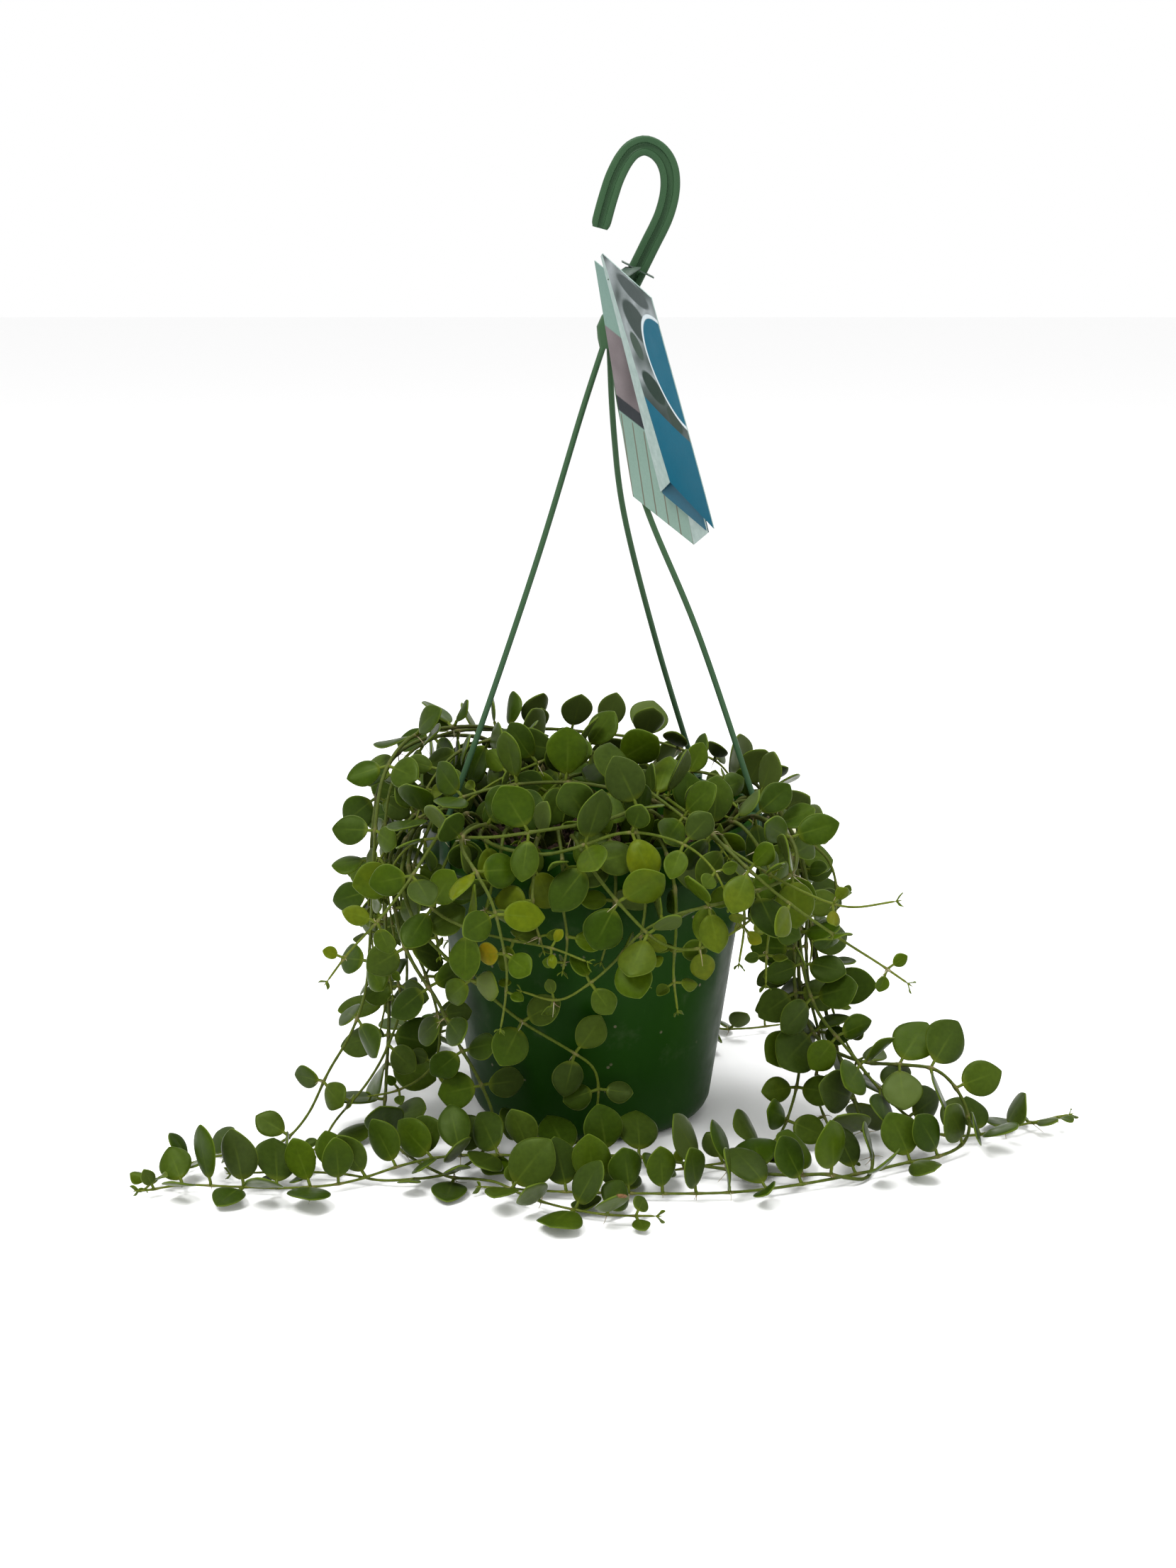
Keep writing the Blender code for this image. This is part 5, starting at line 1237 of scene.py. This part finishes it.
def inner_print():
    """Plain generic print: mint with a grey block, a dark bar and thin upright rules."""
    n = Nodes("card_inside", 0.45, 0.06)
    across = n.value("across")
    down = n.value("along")
    base = n.ramp(down, (0.0, (0.115, 0.185, 0.16)), (0.5, (0.125, 0.20, 0.165)),
                  (1.0, (0.155, 0.235, 0.195)))
    block = n.times(n.step(down, 0.262, 0.27), n.step(down, 0.585, 0.577))
    grey = n.ramp(n.noise(30, 2.0), (0.35, (0.070, 0.058, 0.060)), (0.65, (0.17, 0.145, 0.15)))
    base = n.mix(block, base, grey)
    bar = n.times(n.step(down, 0.555, 0.563), n.step(down, 0.628, 0.62))
    base = n.mix(bar, base, (0.012, 0.015, 0.018))
    wave = n.math("FRACT", n.times(n.math("ADD", across, n.times(down, 0.10)), 5.0))
    rule = n.times(n.step(n.math("ABSOLUTE", n.math("SUBTRACT", wave, 0.5)), 0.075, 0.03),
                  n.step(down, 0.628, 0.64))
    base = n.mix(n.times(rule, 0.8), base, (0.085, 0.062, 0.038))
    return paper(n, base)


def back_print():
    n = Nodes("card_back", 0.45, 0.06)
    down = n.value("along")
    base = n.ramp(down, (0.0, (0.16, 0.24, 0.21)), (0.72, (0.20, 0.28, 0.25)), (0.74, (0.012, 0.055, 0.085)),
                  (1.0, (0.02, 0.075, 0.11)))
    return paper(n, base)


def dark_card():
    n = Nodes("card_eye_print", 0.5, 0.2)
    return paper(n, n.ramp(n.noise(200, 2.0), (0.3, (0.035, 0.06, 0.045)), (0.7, (0.06, 0.085, 0.065))))


def bare_card():
    n = Nodes("card_edge", 0.6, 0.3)
    return paper(n, n.ramp(n.noise(300, 2.0), (0.3, (0.17, 0.235, 0.215)), (0.7, (0.22, 0.285, 0.265))))


# ---------------------------------------------------------------- looks: pieces


def shade(mesh, smooth):
    """Smooth shading where faces meet at less than `smooth` degrees; None leaves the mesh flat."""
    if smooth:
        mesh.shade_smooth()
        mesh.set_sharp_from_angle(angle=math.radians(smooth))


def solid(name, verts, faces, materials, smooth=None, values=None):
    """A closed object from vertices in millimetres, shaded by `smooth`, with values at its points."""
    mesh = bpy.data.meshes.new(name)
    mesh.from_pydata([tuple(np.asarray(v, float) * MM) for v in verts], [], faces)
    bm = bmesh.new()
    bm.from_mesh(mesh)
    bmesh.ops.recalc_face_normals(bm, faces=bm.faces)
    if bm.calc_volume(signed=True) < 0:
        bmesh.ops.reverse_faces(bm, faces=bm.faces)
    bm.to_mesh(mesh)
    bm.free()
    for key, data in (values or {}).items():
        mesh.attributes.new(key, "FLOAT", "POINT").data.foreach_set("value", np.asarray(data, float))
    for mat in materials:
        mesh.materials.append(mat)
    shade(mesh, smooth)
    return linked(name, mesh)


def settle(obj, smooth=None):
    """Applies the object's modifiers to its mesh, and removes the guides that they used."""
    guides = [m.object for m in obj.modifiers if m.type == "BOOLEAN"]
    shape = obj.evaluated_get(bpy.context.evaluated_depsgraph_get())
    mesh = bpy.data.meshes.new_from_object(shape)
    obj.modifiers.clear()
    obj.data = mesh
    for guide in guides:
        bpy.data.objects.remove(guide)
    shade(mesh, smooth)
    return obj


def combine(obj, other, operation):
    mod = obj.modifiers.new(other.name, "BOOLEAN")
    mod.object = other
    mod.operation = operation
    mod.solver = "EXACT"


def finish_piece(obj, slot, *nodes):
    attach(obj, "root")
    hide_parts(*nodes)
    return obj


def arc(middle, radius, start, end, count):
    """Points (radius, height) on an arc, angles in degrees."""
    return [(middle[0] + radius * math.cos(math.radians(a)), middle[1] + radius * math.sin(math.radians(a)))
            for a in np.linspace(start, end, count)]


def make_pot_look():
    """The turned pot with its rim band and drain holes."""
    green = plastic_material("pot_plastic", POT_GREEN, POT_GREEN_LIGHT, 0.42, 0.05, True)
    outside = [(wall_radius(z), z) for z in (0.0, 0.1, 0.5, 1.1, 2.0, 3.2, 5.0, 7.6, BASE_CORNER)]
    outside += [(wall_radius(z), z) for z in (20.0, 35.0, 50.0, 65.0, 80.0, 95.0, 110.0, RIM_UNDERSIDE - 1.0)]
    lip = 1.6
    under = RIM_TOP - 2.0
    rim = [(wall_radius(under), under), (RIM_RADIUS - lip, under), (RIM_RADIUS - lip, RIM_UNDERSIDE + 0.3)]
    rim += arc((RIM_RADIUS - 0.8, RIM_UNDERSIDE + 0.8), 0.8, 180, 360, 7)
    rim += [(RIM_RADIUS, RIM_UNDERSIDE + 4), (RIM_RADIUS - 0.25, RIM_UNDERSIDE + 4.4),
            (RIM_RADIUS - 0.25, RIM_TOP - 4.4), (RIM_RADIUS, RIM_TOP - 4.0)]
    rim += arc((RIM_RADIUS - 1.0, RIM_TOP - 1.0), 1.0, 0, 90, 6)
    inner = wall_radius(RIM_TOP) - WALL
    rim += arc((inner + 0.7, RIM_TOP - 0.7), 0.7, 90, 180, 5)
    levels = (RIM_UNDERSIDE, 90.0, 50.0, BASE_CORNER, 6.0, 2.5)
    inside = [(wall_radius(z) - WALL, max(z, WALL)) for z in levels]
    profile = [(0, 0)] + outside + rim + inside + [(0, WALL)]
    pot = solid("moulded_pot", *lathe_mesh(profile, POT_LOOK_SIDES), [green])
    for k in range(DRAIN_HOLES):
        a = 2 * math.pi * k / DRAIN_HOLES
        middle = np.array((DRAIN_CIRCLE * math.cos(a), DRAIN_CIRCLE * math.sin(a), 0))
        drill = tube_mesh([middle + (0, 0, -3), middle + (0, 0, 5)], [DRAIN_RADIUS] * 2, 28, (1, 0, 0))
        cut = solid(f"drain_cut_{k}", *drill, [green])
        combine(pot, cut, "DIFFERENCE")
    return finish_piece(settle(pot, 32), "pot_plastic", "pot")


def chip(rng, middle, size):
    """An irregular crumb of bark or peat."""
    bm = bmesh.new()
    bmesh.ops.create_icosphere(bm, subdivisions=1, radius=1.0)
    scale = size * rng.uniform(0.5, 1.0, 3)
    verts = [np.array(v.co) * scale * rng.uniform(0.75, 1.2) for v in bm.verts]
    faces = [tuple(v.index for v in f.verts) for f in bm.faces]
    bm.free()
    turn = rng.normal(0, 1, (3, 3))
    turn, _ = np.linalg.qr(turn)
    if np.linalg.det(turn) < 0:
        turn[:, 0] *= -1
    return [middle + turn @ v for v in verts], faces


def make_mix_look():
    """The potting mix: a lumpy filling with crumbs and coir fibres on top."""
    rng = np.random.default_rng(SEED + 2)
    gap = WALL + FIT_GAP
    levels = (2.5, 6.0, BASE_CORNER, 50.0, 90.0, SOIL_EDGE)
    profile = [(0, gap)] + [(wall_radius(z) - gap, max(z, gap)) for z in levels]
    profile += [(r, soil_height(r)) for r in range(64, 2, -3)] + [(0, SOIL_CROWN)]
    verts, faces = lathe_mesh(profile, MIX_SIDES)
    verts = [np.array(v, float) for v in verts]
    phase = rng.uniform(0, 6, 6)
    for v in verts:
        if v[2] > SOIL_EDGE - 0.5 and math.hypot(v[0], v[1]) < 66:
            bumps = sum(math.sin(v[0] * a + phase[k]) * math.sin(v[1] * a * 1.13 + phase[-k])
                        for k, a in enumerate((0.21, 0.47, 0.83, 1.31)))
            v[2] += 0.55 * bumps
    growth = Growth()
    growth.add(verts, faces, 0)
    for _ in range(MIX_CHIPS):
        r = 66 * math.sqrt(rng.random())
        a = rng.uniform(0, 2 * math.pi)
        spot = np.array((r * math.cos(a), r * math.sin(a), soil_height(r) + rng.uniform(-0.4, 0.6)))
        growth.add(*chip(rng, spot, rng.uniform(0.9, 2.6)), 0)
    for _ in range(MIX_FIBRES):
        r = 62 * math.sqrt(rng.random())
        a = rng.uniform(0, 2 * math.pi)
        heading = rng.uniform(0, 2 * math.pi)
        length = rng.uniform(6, 18)
        steps = np.linspace(-0.5, 0.5, 7)
        curve = rng.normal(0, 0.25)
        path = []
        for s in steps:
            x = r * math.cos(a) + math.cos(heading + curve * s * 4) * length * s
            y = r * math.sin(a) + math.sin(heading + curve * s * 4) * length * s
            x, y = np.array((x, y)) * min(1.0, 66 / max(math.hypot(x, y), 1e-6))
            path.append((x, y, soil_height(math.hypot(x, y)) + 0.9 + rng.uniform(-0.2, 0.5)))
        growth.add(*tube_mesh(path, np.linspace(0.28, 0.15, 7), 4), 1)
    mix = growth.piece("peat_coir_mix", [mix_material(), fibre_material()])
    return finish_piece(mix, "potting_mix", "potting_mix")


def hook_outline():
    """The bar's section: rounded corners and a groove down its front and its back."""
    w = HOOK_WIDTH / 2
    d = HOOK_DEPTH / 2
    g = GROOVE_WIDTH / 2
    corner = arc((w - 1.0, d - 1.0), 1.0, 0, 90, 5)
    lip = [(g + 0.45, d), (g + 0.12, d - 0.12), (g, d - 0.5), (g - 0.25, d - GROOVE_DEPTH + 0.2),
           (g - 0.6, d - GROOVE_DEPTH)]
    upper = corner + lip + [(-x, y) for x, y in reversed(lip)] + [(-x, y) for x, y in reversed(corner)]
    return upper + [(-x, -y) for x, y in upper]


def make_hanger_look():
    """The hook, junction, three strands and rim clips, joined into one moulding."""
    green = plastic_material("hanger_plastic", HANGER_GREEN, HANGER_GREEN_LIGHT, 0.4, 0.12, False)
    verts, faces = sweep_hook(HOOK_ROUTE, hook_outline())
    hanger = solid("moulded_hanger", verts, faces, [green])
    block = [(JUNCTION[0] + dx, JUNCTION[1], JUNCTION[2] + dz)
             for dx, dz in ((2.2, 4.6), (1.6, 3.0), (0.8, 1.0), (-0.2, -1.0), (-0.6, -5.0), (-0.9, -9.0))]
    knuckle = tube_mesh(block, [4.4, 5.2, 5.3, 5.3, 4.4, 3.2], 24)
    combine(hanger, solid("junction", *knuckle, [green]), "UNION")
    for name in STRAND_ROUTES:
        path = smooth_route([tuple(p) for p in strand_path(name)], 4.0)
        rod = tube_mesh(path, [STRAND_RADIUS] * len(path), 12)
        combine(hanger, solid(f"strand_{name}", *rod, [green]), "UNION")
        clip = solid(f"clip_{name}", *clip_mesh(CLIP_ANGLES[name]), [green])
        bevel = clip.modifiers.new("round", "BEVEL")
        bevel.width = 0.3 * MM
        bevel.segments = 2
        settle(clip)
        combine(hanger, clip, "UNION")
    return finish_piece(settle(hanger, 35), "hanger_plastic", "hanger")


def sweep_hook(route, section):
    """The bar swept along the hook at a fine step, with its two ends rounded off."""
    path = smooth_route([(x, 0.0, z) for x, z in route], 5.0)
    path = smooth_route([tuple(p) for p in path], 1.6)
    tangents = np.gradient(path, axis=0)
    verts = []
    faces = []
    n = len(section)
    for i, (p, t) in enumerate(zip(path, tangents)):
        t = unit(t)
        across = np.array((t[2], 0, -t[0]))
        end = min(i, len(path) - 1 - i)
        size = (0.78, 0.95, 1.0)[min(end, 2)]
        verts += [p + (across * a + np.array((0, 1, 0)) * b) * size for a, b in section]
        if i:
            faces += band((i - 1) * n, i * n, n)
    return verts, faces + caps(n, len(verts))


def make_label_look():
    """The folded card: one sheet bent back and forth, its eye and its strap."""
    mats = [front_print(), inner_print(), back_print(), bare_card(), dark_card()]
    columns = []
    for number, panel in enumerate(CARD_PANELS):
        steps = list(np.linspace(0, 1, CARD_COLUMNS))
        if number == 1:
            steps.reverse()
        columns += [(number, panel, s) for s in steps]
    rows = np.linspace(0, 1, CARD_ROWS)
    grid = np.array([[label_point(panel, s, t) for t in rows] for _, panel, s in columns])
    normals = np.cross(np.gradient(grid, axis=0), np.gradient(grid, axis=1))
    normals /= np.linalg.norm(normals, axis=2)[:, :, None]
    if normals[-8, 20].dot((0.3, -1, 0)) < 0:
        normals = -normals
    height = len(rows)
    across = np.repeat([s for _, _, s in columns], height)
    down = np.tile(rows, len(columns))
    half = LABEL_THICKNESS / 2
    verts = [*(grid + normals * half).reshape(-1, 3), *(grid - normals * half).reshape(-1, 3)]
    back = len(columns) * height
    faces = []
    slots = []
    for i in range(len(columns) - 1):
        bent = columns[i][0] != columns[i + 1][0]
        front = 3 if bent else 0 if columns[i][0] == 2 else 1
        for j in range(height - 1):
            quad = (i * height + j, (i + 1) * height + j, (i + 1) * height + j + 1, i * height + j + 1)
            faces += [quad, tuple(back + k for k in reversed(quad))]
            slots += [front, 3 if bent else 2]
    border = list(range(height)) + [i * height + height - 1 for i in range(1, len(columns))]
    border += [(len(columns) - 1) * height + j for j in reversed(range(height - 1))]
    border += [i * height for i in reversed(range(1, len(columns) - 1))]
    for a, b in zip(border, border[1:] + border[:1]):
        faces.append((a, b, back + b, back + a))
        slots.append(3)
    values = {"across": [*across, *across], "along": [*down, *down]}
    label = solid("folded_card", verts, faces, mats, None, values)
    label.data.polygons.foreach_set("material_index", slots)
    strap = [EYE_MIDDLE + np.array(EYE_FRONT), label_point(CARD_PANELS[0], *STRAP_FROM)]
    for name, shape in (("card_eye", eye_mesh()), ("card_strap", strap_mesh(*strap))):
        solid(name, *shape, [mats[4]]).parent = label
    shade(label.data, 30)
    return finish_piece(label, "label_card", "label")


def make_flower_look():
    """A small urn-shaped flower with five short lobes round its mouth, on a bent stalk."""
    profile = [(0.0, 1.5), (0.7, 1.62), (1.25, 1.95), (1.68, 2.6), (1.88, 3.4), (1.8, 4.2), (1.45, 5.0),
               (1.08, 5.6), (0.88, 5.95), (0.92, 6.2), (0.62, 6.15), (0.5, 5.7), (0.7, 4.6), (0.0, 4.2)]
    sides = 40
    verts, faces = lathe_mesh(profile, sides)
    shaped = []
    tall = []
    for v in verts:
        a = math.atan2(v[1], v[0])
        lobes = 1 + 0.07 * math.cos(5 * a) * np.clip((v[2] - 2) / 3, 0, 1)
        lift = 0.22 * math.cos(5 * a) * np.clip((v[2] - 5.5) / 0.6, 0, 1)
        shaped.append(FLOWER_AT + (v[0] * lobes, v[1] * lobes, v[2] + lift))
        tall.append((v[2] - 1.5) / 4.7)
    flower = solid("urn_flower", shaped, faces, [petal_material(), stem_material()], 60, {"along": tall})
    stalk = Growth()
    route = ((1.0, 0.6, -0.4), (0.5, 0.3, 0.2), (0.1, 0.1, 1.0), (0, 0, 1.8))
    path = [FLOWER_AT + np.array(p) for p in route]
    stalk.add(*tube_mesh(path, (0.42, 0.38, 0.4, 0.7), 8), 0, tone=0.8)
    foot = stalk.piece("flower_stalk", [stem_material()])
    foot.parent = flower
    return finish_piece(flower, "petal", "flower")


def make_plant():
    """Every stem with its leaves, stalks, aerial roots and growing tip, as one piece for each CAD node."""
    stems = settled_stems()
    leaves = grow_leaves(stems)
    leaf_looks(leaves)
    mats = [leaf_material(), stem_material(), root_material()]
    rng = np.random.default_rng(SEED + 3)
    for name, (path, radii) in stems.items():
        growth = Growth()
        nodes = sorted({leaf["node"] for leaf in leaves[name]})
        grow_stem(growth, path, radii, nodes, rng)
        for leaf in leaves[name]:
            verts, values = leaf_skin(leaf)
            growth.add(verts, LEAF_FACES, LEAF, tone=leaf["tone"], dull=leaf["dull"], **values)
            grow_stalk(growth, leaf, leaf["tone"])
        for i in nodes[1:]:
            if rng.random() < 0.5:
                grow_roots(growth, path, i, radii[i], rng)
        grow_tip(growth, path, radii, 0.6, rng)
        finish_piece(growth.piece(name.replace("vine_", "leafy_"), mats), "leaf_and_stem", name)


# ---------------------------------------------------------------- stage, lights and camera


# name, place in metres, size in metres, power in watts
LAMPS = (
    ("key", (-0.6, -0.8, 1.5), 0.6, 24.0),
    ("top", (0.3, 0.1, 1.8), 0.8, 18.0),
    ("fill", (1.2, -0.8, 0.8), 0.8, 4.0),
)
LAMP_TARGET = (0, 0, 0.12)
FLOOR_HALF = 6.0
FLOOR_WHITE = (0.95, 0.95, 0.95, 1)
CAMERA_AT = (-0.0015, -1.07596, 0.4187)
CAMERA_PITCH = math.radians(90 - 13.98)
LENS_LENGTH = 57.29


def make_stage():
    """The pale floor, the white surroundings, three soft lamps and the camera."""
    scene = bpy.context.scene
    n = Nodes("floor_paper", 0.9, 0.1)
    n.color(FLOOR_WHITE)
    mesh = bpy.data.meshes.new("floor")
    mesh.from_pydata([(FLOOR_HALF * a, FLOOR_HALF * b, 0) for a, b in SQUARE], [], [(0, 1, 2, 3)])
    mesh.materials.append(n.mat)
    floor = linked("floor", mesh)
    world = bpy.data.worlds.new("studio")
    scene.world = world
    world.use_nodes = True
    world.node_tree.nodes["Background"].inputs["Color"].default_value = (1, 1, 1, 1)
    world.node_tree.nodes["Background"].inputs["Strength"].default_value = 1.0
    for name, place, size, power in LAMPS:
        lamp = bpy.data.lights.new(name, "AREA")
        lamp.energy = power
        lamp.size = size
        obj = linked(name, lamp)
        obj.location = place
        obj.rotation_euler = (Vector(LAMP_TARGET) - Vector(place)).to_track_quat("-Z", "Y").to_euler()
    lens = bpy.data.cameras.new("camera")
    lens.lens = LENS_LENGTH
    lens.sensor_width = 36
    lens.sensor_fit = "AUTO"
    camera = linked("camera", lens)
    camera.location = CAMERA_AT
    camera.rotation_euler = (CAMERA_PITCH, 0, 0)
    scene.camera = camera
    scene.view_settings.view_transform = "Standard"


make_stage()
make_pot_look()
make_mix_look()
make_hanger_look()
make_label_look()
make_flower_look()
make_plant()
